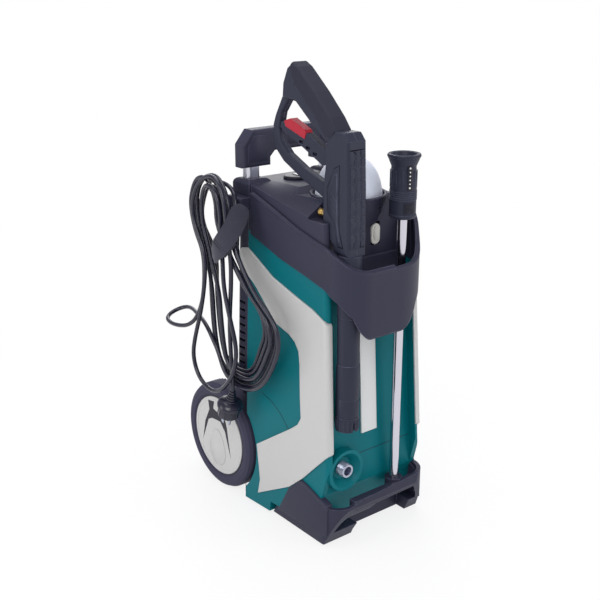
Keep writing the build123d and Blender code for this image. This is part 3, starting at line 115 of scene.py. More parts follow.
def linear(red, green, blue):
    """A colour given in sRGB bytes, as the linear values that Blender's sockets take."""
    return tuple(
        ((c / 255 + 0.055) / 1.055) ** 2.4 if c > 10 else c / 255 / 12.92
        for c in (red, green, blue))


def colour_setting(label, text, red, green, blue):
    """A colour that can be changed in the sidebar, with its default in sRGB bytes."""
    return FloatVectorProperty(
        name=label, description=text, subtype="COLOR", size=3, min=0.0, max=1.0,
        default=linear(red, green, blue))


class WasherColours(bpy.types.PropertyGroup):
    """Colours of the washer's mouldings, metal and cord"""

    shell: colour_setting("Casing", "Teal of the housing", 0, 102, 110)
    moulding: colour_setting("Moulding", "Slate of the basket, cover, base and handle", 47, 47, 64)
    gun: colour_setting("Gun", "Slate of the gun and lance head", 42, 44, 59)
    rubber: colour_setting("Rubber", "Soft grip, feet and gland", 38, 39, 52)
    tyre: colour_setting("Tyre", "Rubber of the tyres", 56, 55, 74)
    trim: colour_setting("Trim", "Pale side trims and hub caps", 188, 187, 184)
    strip: colour_setting("Strip", "Pale strip down the front", 214, 214, 211)
    lock: colour_setting("Lock", "Red tab of the trigger lock", 168, 26, 46)
    bottle: colour_setting("Bottle", "Milky detergent bottle", 226, 230, 242)
    cord: colour_setting("Cord", "Sheath of the mains cord and its plug", 30, 29, 46)
    strap: colour_setting("Strap", "Webbing of the cord strap", 40, 41, 55)


class WasherSizes(bpy.types.PropertyGroup):
    """Sizes of the washer's cord and detail"""

    cord_diameter: FloatProperty(
        name="Cord Diameter", description="Thickness of the mains cord", default=0.007,
        min=0.005, max=0.010, unit="LENGTH")
    cord_length: FloatProperty(
        name="Cord Length", description="Length of the mains cord from its gland to its plug",
        default=6.41, min=3.0, max=10.0, unit="LENGTH")
    groove: FloatProperty(
        name="Groove Width", description="Width of the moulded lines and seams", default=0.0009,
        min=0.0003, max=0.003, unit="LENGTH")
    tread_count: IntProperty(
        name="Tread Blocks", description="Blocks round each shoulder of a tyre", default=64,
        min=24, max=120)


# ------------------------------------------------------------------ material helpers
NUMBER, VECTOR, COLOUR = "NodeSocketFloat", "NodeSocketVector", "NodeSocketColor"
MID_GREY = (0.5, 0.5, 0.5, 1.0)
WHITE = (1.0, 1.0, 1.0, 1.0)


class Nodes:
    """A small hand for adding shader nodes and feeding their inputs."""

    def __init__(self, tree):
        self.tree = tree
        self.column = 0

    def fill(self, node, inputs):
        """Feed a node's inputs by name or number, each with an output or a constant."""
        for key, value in inputs.items():
            if isinstance(value, bpy.types.NodeSocket):
                self.tree.links.new(value, node.inputs[key])
            else:
                node.inputs[key].default_value = value
        return node

    def add(self, kind, inputs=None, **settings):
        """A new node with its settings made and its inputs fed."""
        node = self.tree.nodes.new(kind)
        node.location = (self.column * 200 - 900, 0)
        self.column += 1
        for key, value in settings.items():
            setattr(node, key, value)
        return self.fill(node, inputs or {})

    def maths(self, operation, *values, **settings):
        """The result of one operation on outputs and numbers."""
        node = self.add("ShaderNodeMath", dict(enumerate(values)), operation=operation, **settings)
        return node.outputs[0]

    def noise(self, place, scale, detail, roughness=0.5):
        """Noise over a place, from 0 to 1."""
        inputs = {"Vector": place, "Scale": scale, "Detail": detail, "Roughness": roughness}
        return self.add("ShaderNodeTexNoise", inputs).outputs["Fac"]


def new_group(name, inputs, outputs):
    """A group with inputs (name, kind, default) and outputs (name, kind), and its own space."""
    group = bpy.data.node_groups.new(name, "ShaderNodeTree")
    for label, kind, default in inputs:
        socket = group.interface.new_socket(name=label, in_out="INPUT", socket_type=kind)
        socket.default_value = default
    for label, kind in outputs:
        group.interface.new_socket(name=label, in_out="OUTPUT", socket_type=kind)
    nodes = Nodes(group)
    given = nodes.add("NodeGroupInput").outputs
    place = nodes.add("ShaderNodeTexCoord").outputs["Object"]
    return nodes, given, place


def mould_grain_group(name):
    """Spark-eroded grain of moulded plastic, with a faint flow mottle in its colour and gloss."""
    nodes, given, place = new_group(
        name,
        [("Colour", COLOUR, MID_GREY), ("Grain Scale", NUMBER, 900.0), ("Mottle", NUMBER, 0.08),
         ("Roughness", NUMBER, 0.45)],
        [("Colour", COLOUR), ("Roughness", NUMBER), ("Height", NUMBER)])
    flow = nodes.maths("SUBTRACT", nodes.noise(place, 9.0, 4.0, 0.55), 0.5)
    amount = nodes.maths("MULTIPLY", flow, given["Mottle"])
    value = nodes.maths("ADD", amount, 1.0)
    tone = nodes.add("ShaderNodeHueSaturation", {"Color": given["Colour"], "Value": value})
    nodes.add("NodeGroupOutput", {
        "Colour": tone.outputs["Color"],
        "Roughness": nodes.maths("MULTIPLY_ADD", amount, 1.2, given["Roughness"]),
        "Height": nodes.noise(place, given["Grain Scale"], 3.0, 0.6)})
    return nodes.tree


def edge_scuff_and_highlight_group(name):
    """Paler, smoother edges broken up by a coarse noise: handling scuffs, and where a highlight
    colour is given, a painted highlight along the edge.
    """
    nodes, given, place = new_group(
        name,
        [("Colour", COLOUR, MID_GREY), ("Scuff And Highlight Colour", COLOUR, (0.7, 0.7, 0.7, 1.0)),
         ("Edge", NUMBER, 0.0), ("Amount", NUMBER, 0.5), ("Roughness", NUMBER, 0.45)],
        [("Colour", COLOUR), ("Roughness", NUMBER)])
    patchy = nodes.noise(place, 38.0, 5.0, 0.65)
    band = nodes.add("ShaderNodeMapRange", {"Value": patchy, "From Min": 0.25, "From Max": 0.6})
    scuffed_and_lit = nodes.maths("MULTIPLY", band.outputs["Result"], given["Edge"])
    share = nodes.maths("MULTIPLY", scuffed_and_lit, given["Amount"], use_clamp=True)
    mix = nodes.add(
        "ShaderNodeMix", {"Factor": share, 6: given["Colour"], 7: given["Scuff And Highlight Colour"]},
        data_type="RGBA")
    nodes.add("NodeGroupOutput", {
        "Colour": mix.outputs[2],
        "Roughness": nodes.maths("MULTIPLY_ADD", share, -0.12, given["Roughness"])})
    return nodes.tree


def drawn_metal_group(name):
    """Fine draw lines along one direction of a metal piece, with a little uneven gloss."""
    nodes, given, place = new_group(
        name,
        [("Stretch", VECTOR, (400.0, 400.0, 8.0)), ("Roughness", NUMBER, 0.2),
         ("Spread", NUMBER, 0.12)],
        [("Roughness", NUMBER), ("Height", NUMBER)])
    scaled = nodes.add(
        "ShaderNodeVectorMath", {0: place, 1: given["Stretch"]}, operation="MULTIPLY")
    lines = nodes.noise(scaled.outputs[0], 1.0, 3.0, 0.6)
    both = nodes.maths("MULTIPLY", lines, nodes.noise(place, 24.0, 3.0))
    nodes.add("NodeGroupOutput", {
        "Roughness": nodes.maths("MULTIPLY_ADD", both, given["Spread"], given["Roughness"]),
        "Height": lines})
    return nodes.tree


def strap_weave_group(name):
    """Closed loops of hook-and-loop webbing over its ribbed weave."""
    nodes, given, place = new_group(
        name,
        [("Colour", COLOUR, (0.1, 0.1, 0.1, 1.0)), ("Thread", NUMBER, 900.0)],
        [("Colour", COLOUR), ("Height", NUMBER)])
    threads = nodes.add(
        "ShaderNodeTexVoronoi", {"Vector": place, "Scale": given["Thread"], "Randomness": 0.55},
        feature="F1")
    fuzz = nodes.noise(place, 160.0, 5.0, 0.7)
    value = nodes.maths("MULTIPLY_ADD", fuzz, 0.5, 0.75)
    tone = nodes.add("ShaderNodeHueSaturation", {"Color": given["Colour"], "Value": value})
    nodes.add("NodeGroupOutput", {
        "Colour": tone.outputs["Color"],
        "Height": nodes.maths("MULTIPLY", threads.outputs["Distance"], fuzz)})
    return nodes.tree


GROUP_MAKERS = {
    "Mould Grain": mould_grain_group,
    "Edge Scuff And Highlight": edge_scuff_and_highlight_group,
    "Drawn Metal": drawn_metal_group,
    "Strap Weave": strap_weave_group,
}


def put_group(nodes, name, inputs):
    """Place a shared group in a material, making it the first time it is asked for."""
    tree = bpy.data.node_groups.get(name) or GROUP_MAKERS[name](name)
    return nodes.add("ShaderNodeGroup", inputs, node_tree=tree)


def blank_material(name):
    """A material with only its Principled shader, and a hand for adding more nodes."""
    material = bpy.data.materials.new(name)
    material.use_nodes = True
    shader = material.node_tree.nodes["Principled BSDF"]
    return material, Nodes(material.node_tree), shader


def rounded_normal(nodes, shader, height, distance, radius):
    """Bump from a height, over edges that read as rounded to a moulding's radius."""
    edge = nodes.add("ShaderNodeBevel", {"Radius": radius}, samples=4).outputs["Normal"]
    bump = nodes.add("ShaderNodeBump", {
        "Strength": 1.0, "Distance": distance, "Height": height, "Normal": edge})
    nodes.fill(shader, {"Normal": bump.outputs["Normal"]})
    return edge


def edge_mask(nodes, edge):
    """How far the rounded normal departs from the true one: 0 on a face, up to 1 on an edge."""
    surface = nodes.add("ShaderNodeNewGeometry").outputs["Normal"]
    agree = nodes.add("ShaderNodeVectorMath", {0: edge, 1: surface}, operation="DOT_PRODUCT")
    mask = nodes.add("ShaderNodeMapRange", {
        "Value": agree.outputs["Value"], "From Min": 0.99, "From Max": 0.75})
    return mask.outputs["Result"]


def moulded(name, colour, roughness, grain, depth, mottle=0.1, radius=0.0008,
            scuff_and_highlight_colour=None, scuff_and_highlight=0.5, shine=0.2):
    """Moulded plastic or rubber: grain, mottle, rounded edges, and paler edges: handling scuffs by
    default, a painted highlight where an edge colour is given.
    """
    material, nodes, shader = blank_material(name)
    skin = put_group(nodes, "Mould Grain", {
        "Colour": (*colour, 1.0), "Grain Scale": grain, "Mottle": mottle, "Roughness": roughness})
    edge = rounded_normal(nodes, shader, skin.outputs["Height"], depth, radius)
    # An edge colour given here is a painted highlight; without one, a paler tone of the colour
    # stands for handling scuffs.
    lighter = scuff_and_highlight_colour or tuple(min(1.0, c * 1.5 + 0.02) for c in colour)
    scuffed_and_lit = put_group(nodes, "Edge Scuff And Highlight", {
        "Colour": skin.outputs["Colour"], "Scuff And Highlight Colour": (*lighter, 1.0),
        "Edge": edge_mask(nodes, edge), "Amount": scuff_and_highlight, "Roughness": skin.outputs["Roughness"]})
    nodes.fill(shader, {
        "Base Color": scuffed_and_lit.outputs["Colour"], "Roughness": scuffed_and_lit.outputs["Roughness"],
        "Specular IOR Level": shine})
    return material


def metal(name, colour, roughness, stretch=(400.0, 400.0, 8.0), spread=0.12, depth=0.00001):
    """Drawn or turned metal."""
    material, nodes, shader = blank_material(name)
    drawn = put_group(nodes, "Drawn Metal", {
        "Stretch": stretch, "Roughness": roughness, "Spread": spread})
    rounded_normal(nodes, shader, drawn.outputs["Height"], depth, 0.0005)
    nodes.fill(shader, {
        "Roughness": drawn.outputs["Roughness"], "Base Color": (*colour, 1.0), "Metallic": 1.0})
    return material


def webbing(name, colour):
    """Hook-and-loop strap webbing."""
    material, nodes, shader = blank_material(name)
    weave = put_group(nodes, "Strap Weave", {"Colour": (*colour, 1.0)})
    bump = nodes.add("ShaderNodeBump", {
        "Strength": 0.7, "Distance": 0.0004, "Height": weave.outputs["Height"]})
    nodes.fill(shader, {
        "Normal": bump.outputs["Normal"], "Base Color": weave.outputs["Colour"],
        "Roughness": 0.85, "Sheen Weight": 0.25})
    return material


def milky(name, colour):
    """Blow-moulded polyethylene of the detergent bottle, waxy and slightly see-through."""
    material = moulded(name, colour, 0.38, 260.0, 0.00005, 0.12, scuff_and_highlight=0.0)
    shader = material.node_tree.nodes["Principled BSDF"]
    shader.inputs["Subsurface Weight"].default_value = 0.6
    shader.inputs["Subsurface Scale"].default_value = 0.012
    shader.inputs["Subsurface Radius"].default_value = (0.9, 0.95, 1.0)
    return material


MATERIALS = {}
TURNED = (60.0, 500.0, 60.0)
TURNED_UPRIGHT = (60.0, 60.0, 400.0)
CAST = (120.0, 120.0, 120.0)


def make_materials(tones):
    """Every finish of the washer, by the slot of the record that it belongs to."""
    # Pale edge colours of the slate, gun, rubber and trim mouldings: painted highlights along their
    # rounded edges.
    edge_highlight_tone = linear(112, 112, 136)
    trim_edge_highlight = (0.86, 0.87, 0.88)
    MATERIALS.update(
        teal_shell=moulded(
            "Teal Casing", tones.shell, 0.40, 1100.0, 0.00003, scuff_and_highlight=0.35, shine=0.14),
        dark_plastic=moulded(
            "Slate Moulding", tones.moulding, 0.46, 900.0, 0.00005, 0.12, 0.0016, edge_highlight_tone, 0.8),
        gun_plastic=moulded(
            "Gun Moulding", tones.gun, 0.44, 800.0, 0.00005, 0.12, 0.0015, edge_highlight_tone, 0.8),
        rubber=moulded(
            "Soft Rubber", tones.rubber, 0.60, 700.0, 0.00006, 0.10, 0.0025, edge_highlight_tone, 0.6),
        tyre=moulded("Tyre Rubber", tones.tyre, 0.66, 500.0, 0.00008, 0.16),
        pale_plastic=moulded(
            "Pale Trim", tones.trim, 0.36, 1000.0, 0.00002, 0.04, 0.0028, trim_edge_highlight, 0.9, 0.35),
        grey_plastic=moulded("Pale Strip", tones.strip, 0.42, 1000.0, 0.00002, 0.04, scuff_and_highlight=0.0),
        black_plastic=moulded("Black Moulding", linear(34, 34, 44), 0.4, 900.0, 0.00004),
        # Near-black painted shade for the floors of the gun's grooves.
        groove_black=moulded(
            "Painted Groove Shade", linear(10, 10, 16), 0.7, 600.0, 0.00001, 0.05, scuff_and_highlight=0.0, shine=0.1),
        switch_white=moulded(
            "Switch White", linear(224, 222, 214), 0.32, 900.0, 0.00001, 0.03, scuff_and_highlight=0.0),
        red_plastic=moulded("Lock Red", tones.lock, 0.36, 900.0, 0.00002, scuff_and_highlight=0.3, shine=0.3),
        frosted=milky("Milky Bottle", tones.bottle),
        chrome=metal("Bright Chrome", linear(206, 204, 214), 0.13),
        handle_metal=metal("Satin Tube", linear(214, 214, 224), 0.24, spread=0.2),
        brass=metal("Turned Brass", linear(206, 174, 106), 0.26, TURNED, 0.2),
        nickel=metal("Nickelled Thread", linear(176, 180, 196), 0.24, TURNED, 0.2),
        steel=metal("Turned Steel", linear(150, 152, 158), 0.32, TURNED_UPRIGHT, 0.2),
        motor_metal=metal("Cast Alloy", linear(140, 140, 142), 0.5, CAST, 0.25, 0.0001),
        cord_black=moulded("Cord Sheath", tones.cord, 0.24, 600.0, 0.00003, scuff_and_highlight=0.0, shine=0.5),
        webbing=webbing("Strap Webbing", tones.strap),
    )


# ------------------------------------------------------------------ mesh helpers
def face_mesh(corners):
    """One face through its corners, in a new bmesh."""
    mesh = bmesh.new()
    mesh.faces.new([mesh.verts.new(corner) for corner in corners])
    return mesh


def outline_mesh(points, matrix):
    """A flat face from an outline, placed by a matrix, in a new bmesh."""
    return face_mesh([matrix @ Vector((*point, 0.0)) for point in points])


def raise_faces(mesh, offset):
    """Extrude every face of a flat outline into a plate, by one offset."""
    grown = bmesh.ops.extrude_face_region(mesh, geom=list(mesh.faces))
    moved = [g for g in grown["geom"] if isinstance(g, bmesh.types.BMVert)]
    bmesh.ops.translate(mesh, verts=moved, vec=offset)
    bmesh.ops.recalc_face_normals(mesh, faces=mesh.faces)
    return mesh


def bevel(mesh, edges, width, segments=2):
    """Round some edges of a bmesh."""
    bmesh.ops.bevel(
        mesh, geom=edges, offset=width, offset_type="OFFSET", segments=segments, profile=0.5,
        affect="EDGES", clamp_overlap=True, material=-1)
    return mesh


def soften(mesh, width, segments=2, angle=0.5):
    """Bevel the edges that turn by more than an angle."""
    sharp = [e for e in mesh.edges if len(e.link_faces) == 2 and e.calc_face_angle(0.0) > angle]
    return bevel(mesh, sharp, width, segments)


def turned(profile, matrix, steps=48):
    """A closed (radius, height) profile spun about Z, then placed by a matrix."""
    mesh = bmesh.new()
    ring = [mesh.verts.new((radius, 0.0, height)) for radius, height in profile]
    edges = [mesh.edges.new((a, b)) for a, b in zip(ring, ring[1:])]
    if min(radius for radius, height in (profile[0], profile[-1])) > 1e-6:
        edges.append(mesh.edges.new((ring[-1], ring[0])))
    bmesh.ops.spin(
        mesh, geom=ring + edges, cent=(0, 0, 0), axis=(0, 0, 1), dvec=(0, 0, 0),
        angle=math.tau, steps=steps, use_merge=True, use_duplicate=False)
    bmesh.ops.remove_doubles(mesh, verts=mesh.verts, dist=1e-7)
    bmesh.ops.recalc_face_normals(mesh, faces=mesh.faces)
    return moved(mesh, matrix)


def cuboid(low, high, width=0.0):
    """A block between two corners, with its edges bevelled by a width."""
    mesh = bmesh.new()
    middle = [(a + b) / 2 for a, b in zip(low, high)]
    size = [b - a for a, b in zip(low, high)]
    bmesh.ops.create_cube(
        mesh, size=1.0, matrix=Matrix.Translation(middle) @ Matrix.Diagonal((*size, 1.0)))
    return bevel(mesh, list(mesh.edges), width) if width else mesh


def joined(parts):
    """One bmesh from several."""
    whole = bmesh.new()
    for part in parts:
        carrier = bpy.data.meshes.new("carrier")
        part.to_mesh(carrier)
        part.free()
        whole.from_mesh(carrier)
        bpy.data.meshes.remove(carrier)
    return whole


def round_axis(count, start=0.0):
    """The turns about +Z that share a circle out evenly, from a first angle in radians."""
    return [Matrix.Rotation(math.tau * number / count + start, 4, "Z") for number in range(count)]


def moved(mesh, matrix):
    """The same bmesh, placed by a matrix."""
    bmesh.ops.transform(mesh, matrix=matrix, verts=mesh.verts)
    return mesh


def stood(place, axis):
    """The matrix that stands +Z along an axis at a place."""
    turn = Vector(axis).to_track_quat("Z", "Y").to_matrix().to_4x4()
    return Matrix.Translation(place) @ turn


def fitted(point, y):
    """A water fitting's place, with its distance along the washer."""
    return Vector((point.x, y, point.z))


def new_object(name, data):
    """An object in the scene that holds some data."""
    holder = bpy.data.objects.new(name, data)
    bpy.context.scene.collection.objects.link(holder)
    return holder


def make_piece(name, mesh, material, body, smooth=True):
    """A finished object from a bmesh: shaded, finished, and riding on its body."""
    data = bpy.data.meshes.new(name)
    mesh.to_mesh(data)
    mesh.free()
    data.materials.append(MATERIALS[material])
    piece = new_object(name, data)
    if smooth:
        data.shade_smooth()
        data.set_sharp_from_angle(angle=0.6)
    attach(piece, body)
    return piece


def route_curve(name, points, radius, resolution=6, rings=4):
    """A round cord along one open spline with these control points."""
    curve = bpy.data.curves.new(name, "CURVE")
    curve.dimensions = "3D"
    line = curve.splines.new("NURBS")
    line.points.add(len(points) - 1)
    for point, place in zip(line.points, points):
        point.co = (*place, 1.0)
    line.order_u = 3
    line.use_endpoint_u = True
    line.resolution_u = resolution
    curve.bevel_depth = radius
    curve.bevel_resolution = rings
    curve.use_fill_caps = True
    return new_object(name, curve)


# ------------------------------------------------------------------ stage, camera and lights
CAMERA_AT = Vector((-0.9687, -1.1915, 0.866))
CAMERA_TURN = math.radians(38.5)
CAMERA_DIP = math.radians(18.7)
CAMERA_LENS = 59.1
FLOOR_RADIUS = 6.0
LAMPS_AIM = Vector((0.0, 0.0, 0.35))
# Name, place, width and height, and power of each lamp
LAMPS = (
    ("Key", (-1.6, -1.5, 1.9), (1.4, 1.4), 26.0),
    ("Front Fill", (1.4, -2.0, 1.0), (1.2, 1.8), 15.0),
    ("Side Fill", (-2.2, 0.6, 0.9), (1.0, 1.8), 14.0),
    ("Top", (0.1, 0.2, 2.4), (1.6, 1.6), 22.0),
    ("Back", (1.2, 1.8, 1.3), (1.2, 1.6), 14.0),
)


def looking(direction):
    """The turn that points a camera or lamp along a direction."""
    return direction.to_track_quat("-Z", "Y").to_euler()


def set_camera(scene):
    lens = bpy.data.cameras.new("Camera")
    lens.lens = CAMERA_LENS
    lens.sensor_width = 36.0
    camera = new_object("Camera", lens)
    camera.location = CAMERA_AT
    level = math.cos(CAMERA_DIP)
    camera.rotation_euler = looking(Vector((
        math.sin(CAMERA_TURN) * level, math.cos(CAMERA_TURN) * level, -math.sin(CAMERA_DIP))))
    scene.camera = camera


def seen_ray(nodes):
    """1 for rays from the camera, or from it by way of metal or glass."""
    path = nodes.add("ShaderNodeLightPath").outputs
    direct = nodes.maths("MAXIMUM", path["Is Camera Ray"], path["Is Glossy Ray"])
    return nodes.maths("MAXIMUM", direct, path["Is Transmission Ray"])


def floor_material():
    """Matt and pale, and fading to plain white away from the washer for rays that are seen."""
    material, nodes, shader = blank_material("Pale Floor")
    nodes.fill(shader, {
        "Base Color": (0.86, 0.86, 0.87, 1.0), "Roughness": 0.9, "Specular IOR Level": 0.0})
    glow = nodes.add("ShaderNodeEmission", {"Color": WHITE, "Strength": 1.0})
    place = nodes.add("ShaderNodeTexCoord").outputs["Object"]
    reach = nodes.add("ShaderNodeVectorMath", {0: place}, operation="LENGTH").outputs["Value"]
    fade = nodes.add(
        "ShaderNodeMapRange",
        {"Value": reach, "From Min": 0.35, "From Max": 1.1, "To Min": 0.8, "To Max": 1.0},
        interpolation_type="SMOOTHSTEP")
    share = nodes.maths("MULTIPLY", seen_ray(nodes), fade.outputs["Result"])
    mix = nodes.add("ShaderNodeMixShader", {
        0: share, 1: shader.outputs[0], 2: glow.outputs[0]})
    nodes.fill(material.node_tree.nodes["Material Output"], {"Surface": mix.outputs[0]})
    return material


def lay_floor():
    disc = bmesh.new()
    bmesh.ops.create_circle(disc, cap_ends=True, cap_tris=False, segments=96, radius=FLOOR_RADIUS)
    data = bpy.data.meshes.new("floor")
    disc.to_mesh(data)
    disc.free()
    floor = new_object("floor", data)
    data.materials.append(floor_material())


def set_surroundings(scene):
    """Cool, dim light from all round, which the camera sees as white."""
    world = bpy.data.worlds.new("Studio")
    world.use_nodes = True
    scene.world = world
    sky = Nodes(world.node_tree)
    plain = sky.fill(world.node_tree.nodes["Background"], {
        "Color": (0.90, 0.92, 1.0, 1.0), "Strength": 0.55})
    white = sky.add("ShaderNodeBackground", {"Color": WHITE, "Strength": 1.0})
    path = sky.add("ShaderNodeLightPath").outputs
    blend = sky.add("ShaderNodeMixShader", {
        0: path["Is Camera Ray"], 1: plain.outputs[0], 2: white.outputs[0]})
    sky.fill(world.node_tree.nodes["World Output"], {"Surface": blend.outputs[0]})


def area_light(name, place, size, power):
    lamp = bpy.data.lights.new(name, "AREA")
    lamp.shape = "RECTANGLE"
    lamp.size, lamp.size_y = size
    lamp.energy = power
    holder = new_object(name, lamp)
    holder.location = place
    holder.rotation_euler = looking(LAMPS_AIM - Vector(place))


class WASHER_OT_stage(bpy.types.Operator):
    """Lay the pale floor and set the camera, the lamps and the white surroundings"""

    bl_idname = "washer.stage"
    bl_label = "Stage and Camera"

    def execute(self, context):
        set_camera(context.scene)
        lay_floor()
        set_surroundings(context.scene)
        for lamp in LAMPS:
            area_light(*lamp)
        context.scene.view_settings.view_transform = "Standard"
        return {"FINISHED"}


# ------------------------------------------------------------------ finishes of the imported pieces
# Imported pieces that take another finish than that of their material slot
OTHER_FINISHES = {
    "gun_shell_left": "gun_plastic",
    "gun_shell_right": "gun_plastic",
    "gun_barrel": "gun_plastic",
    "gun_collar": "gun_plastic",
    "gun_trigger": "gun_plastic",
    "lance_head": "gun_plastic",
    "outlet_fitting": "nickel",
    "bottle_latch": "switch_white",
    "switch_bezel": "black_plastic",
}


class WASHER_OT_finish_model(bpy.types.Operator):
    """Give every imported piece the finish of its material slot, or its own"""

    bl_idname = "washer.finish_model"
    bl_label = "Finish Packed Pieces"

    def execute(self, context):
        make_materials(context.scene.washer_colours)
        slots = {row["node"]: row["material_slot"] for row in frame["record"]["subparts"]}
        for name, piece in frame["nodes"].items():
            for holder in piece.material_slots:
                holder.material = MATERIALS[OTHER_FINISHES.get(name, slots[name])]
        return {"FINISHED"}


# ------------------------------------------------------------------ mains cord
def hank_turn(row):
    """Control points of one turn of the hank, from its right top corner round to its top."""
    side, right, waist, bulge, low, bottom, left, left_waist, left_mid, top, high = row
    shape = (
        (right - 0.002, 0.525), (right, 0.482), (waist, 0.434),
        ((waist + bulge) / 2 + 0.004, 0.388), (bulge + 0.010, 0.362), (bulge, 0.330),
        (bulge + 0.014, low / 2 + 0.178), ((bulge + bottom) / 2 - 0.002, low + 0.022),
        (bottom - 0.014, low + 0.002), (bottom + 0.024, low - 0.003),
        ((left + bottom) / 2 + 0.018, low + 0.008), (left - 0.006, low + 0.042),
        (left, low + 0.090), (left + 0.002, 0.372), (left_waist, 0.428),
        ((left_waist + 2 * left_mid) / 3, 0.464), (left_mid, high - 0.052),
        (left_mid - 0.009, high - 0.024), ((left_mid + top) / 2 - 0.004, high - 0.005),
        (top - 0.012, high),
    )
    return [(side, y, z) for y, z in shape]


def cord_points():
    """The whole route: lead, six tied turns with a kink in the fifth, and a loose front turn."""
    first, *middle, fifth, last = [hank_turn(row) for row in HANK_TURNS]
    points = [*LEAD_ROUTE, *first[1:]]
    for turn in middle:
        points += turn
    points += fifth[:12] + list(KINK) + fifth[15:]
    points += last[:-3] + list(SIXTH_END)
    return points + list(FRONT_TURN)


PLUG_TOP = Vector((-0.147, 0.016, 0.218))
PLUG_NECK = Vector((-0.146, 0.027, 0.186))
# Length of the plug's strain relief, from which its body starts
RELIEF = 0.021
RELIEF_RIBS = 5
# The plug's body as radius, and height past the strain relief
PLUG_BODY = (
    (0.0, -0.002), (0.0085, -0.002), (0.0120, -0.0010), (0.0160, 0.001), (0.0192, 0.0035),
    (0.0210, 0.0060), (0.0215, 0.0080), (0.0213, 0.0100), (0.0204, 0.0108), (0.0176, 0.0110),
    (0.0172, 0.0120), (0.0176, 0.0132), (0.0170, 0.0285), (0.0158, 0.0300), (0.0, 0.0300),
)


def plug_sleeve(radius, place):
    """The ribbed strain relief between a cord of some radius and its plug."""
    pitch = RELIEF / RELIEF_RIBS
    profile = [(radius - 0.0006, 0.0), (radius + 0.0008, 0.0)]
    for number in range(RELIEF_RIBS):
        wide = radius + 0.001 + 0.0052 * (number + 0.5) / RELIEF_RIBS
        end = pitch * (number + 0.72)
        profile += [
            (wide, pitch * (number + 0.1)), (wide + 0.0003, end), (wide - 0.0012, end + 0.0004),
            (wide - 0.0010, pitch * (number + 1.06))]
    profile.append((radius - 0.0006, RELIEF))
    return turned(profile, place, 24)


def plug_grips(place):
    """Finger ribs round the plug's body."""
    low = (0.0168, -0.0014, RELIEF + 0.0140)
    high = (0.0184, 0.0014, RELIEF + 0.0275)
    return [moved(cuboid(low, high, 0.0004), place @ turn) for turn in round_axis(10)]


def plug_blades(place):
    """Two flat pins and a round earth pin."""
    pins = []
    for x in (-0.0064, 0.0064):
        low = (x - 0.0008, -0.0002, RELIEF + 0.029)
        high = (x + 0.0008, 0.0063, RELIEF + 0.0465)
        pins.append(moved(cuboid(low, high, 0.0003), place))
    earth = [(0.0, 0.0), (0.0024, 0.0), (0.0024, 0.0155), (0.0012, 0.0180), (0.0, 0.0180)]
    pins.append(turned(earth, place @ Matrix.Translation((0.0, -0.007, RELIEF + 0.029)), 20))
    return pins


def gland_sleeve():
    """Ribs of the rubber gland, where the cord leaves the housing."""
    pitch = 0.0035
    profile = [(0.0036, 0.0)]
    for number in range(5):
        wide = 0.0072 - 0.0005 * number
        start = pitch * number
        profile += [
            (wide, start + 0.0002), (wide, start + 0.0022), (wide - 0.0013, start + 0.0026),
            (wide - 0.0015, start + 0.0034)]
    profile.append((0.0036, 0.0180))
    return turned(profile, stood(GLAND, REARWARD), 28)


class WASHER_OT_cord(bpy.types.Operator):
    """Wind the mains cord into its hank, with its plug and the gland it leaves by"""

    bl_idname = "washer.cord"
    bl_label = "Mains Cord"

    def execute(self, context):
        sizes = context.scene.washer_sizes
        radius = sizes.cord_diameter / 2
        cord = route_curve("mains_cord", cord_points(), radius)
        cord.data.materials.append(MATERIALS["cord_black"])
        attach(cord, "housing")
        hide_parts("cord_lead", "cord_hank")

        place = stood(PLUG_TOP, (PLUG_NECK - PLUG_TOP).normalized())
        body = turned([(wide, RELIEF + height) for wide, height in PLUG_BODY], place, 56)
        parts = [plug_sleeve(radius, place), body, *plug_grips(place)]
        plug = make_piece("plug_body", joined(parts), "cord_black", "housing")
        pins = make_piece("plug_pins", joined(plug_blades(place)), "nickel", "housing")
        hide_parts("plug")
        make_piece("gland_ribs", gland_sleeve(), "rubber", "housing")
        return {"FINISHED"}


# Centre, outward normal and half width of the strap, from the hook round the front of the hank
STRAP_LINE = (
    ((-0.1215, 0.0080, 0.5205), (-0.45, -0.88, 0.15), 0.0040),
    ((-0.1225, 0.0085, 0.5190), (-0.45, -0.88, 0.15), 0.0090),
    ((-0.1245, 0.0095, 0.5165), (-0.45, -0.88, 0.15), 0.0125),
    ((-0.1275, 0.0110, 0.5125), (-0.45, -0.88, 0.14), 0.0148),
    ((-0.1320, 0.0110, 0.5070), (-0.50, -0.85, 0.12), 0.0156),
    ((-0.1400, 0.0080, 0.4970), (-0.60, -0.79, 0.08), 0.0156),
    ((-0.1480, 0.0070, 0.4870), (-0.72, -0.69, 0.04), 0.0156),
    ((-0.1550, 0.0100, 0.4760), (-0.85, -0.52, 0.00), 0.0156),
    ((-0.1600, 0.0190, 0.4640), (-0.95, -0.30, 0.00), 0.0156),
    ((-0.1615, 0.0270, 0.4540), (-0.99, -0.12, 0.00), 0.0154),
    ((-0.1615, 0.0330, 0.4450), (-1.00, 0.00, 0.00), 0.0120),
    ((-0.1605, 0.0360, 0.4370), (-1.00, 0.00, 0.00), 0.0075),
    ((-0.1590, 0.0370, 0.4310), (-1.00, 0.00, 0.00), 0.0035),
)


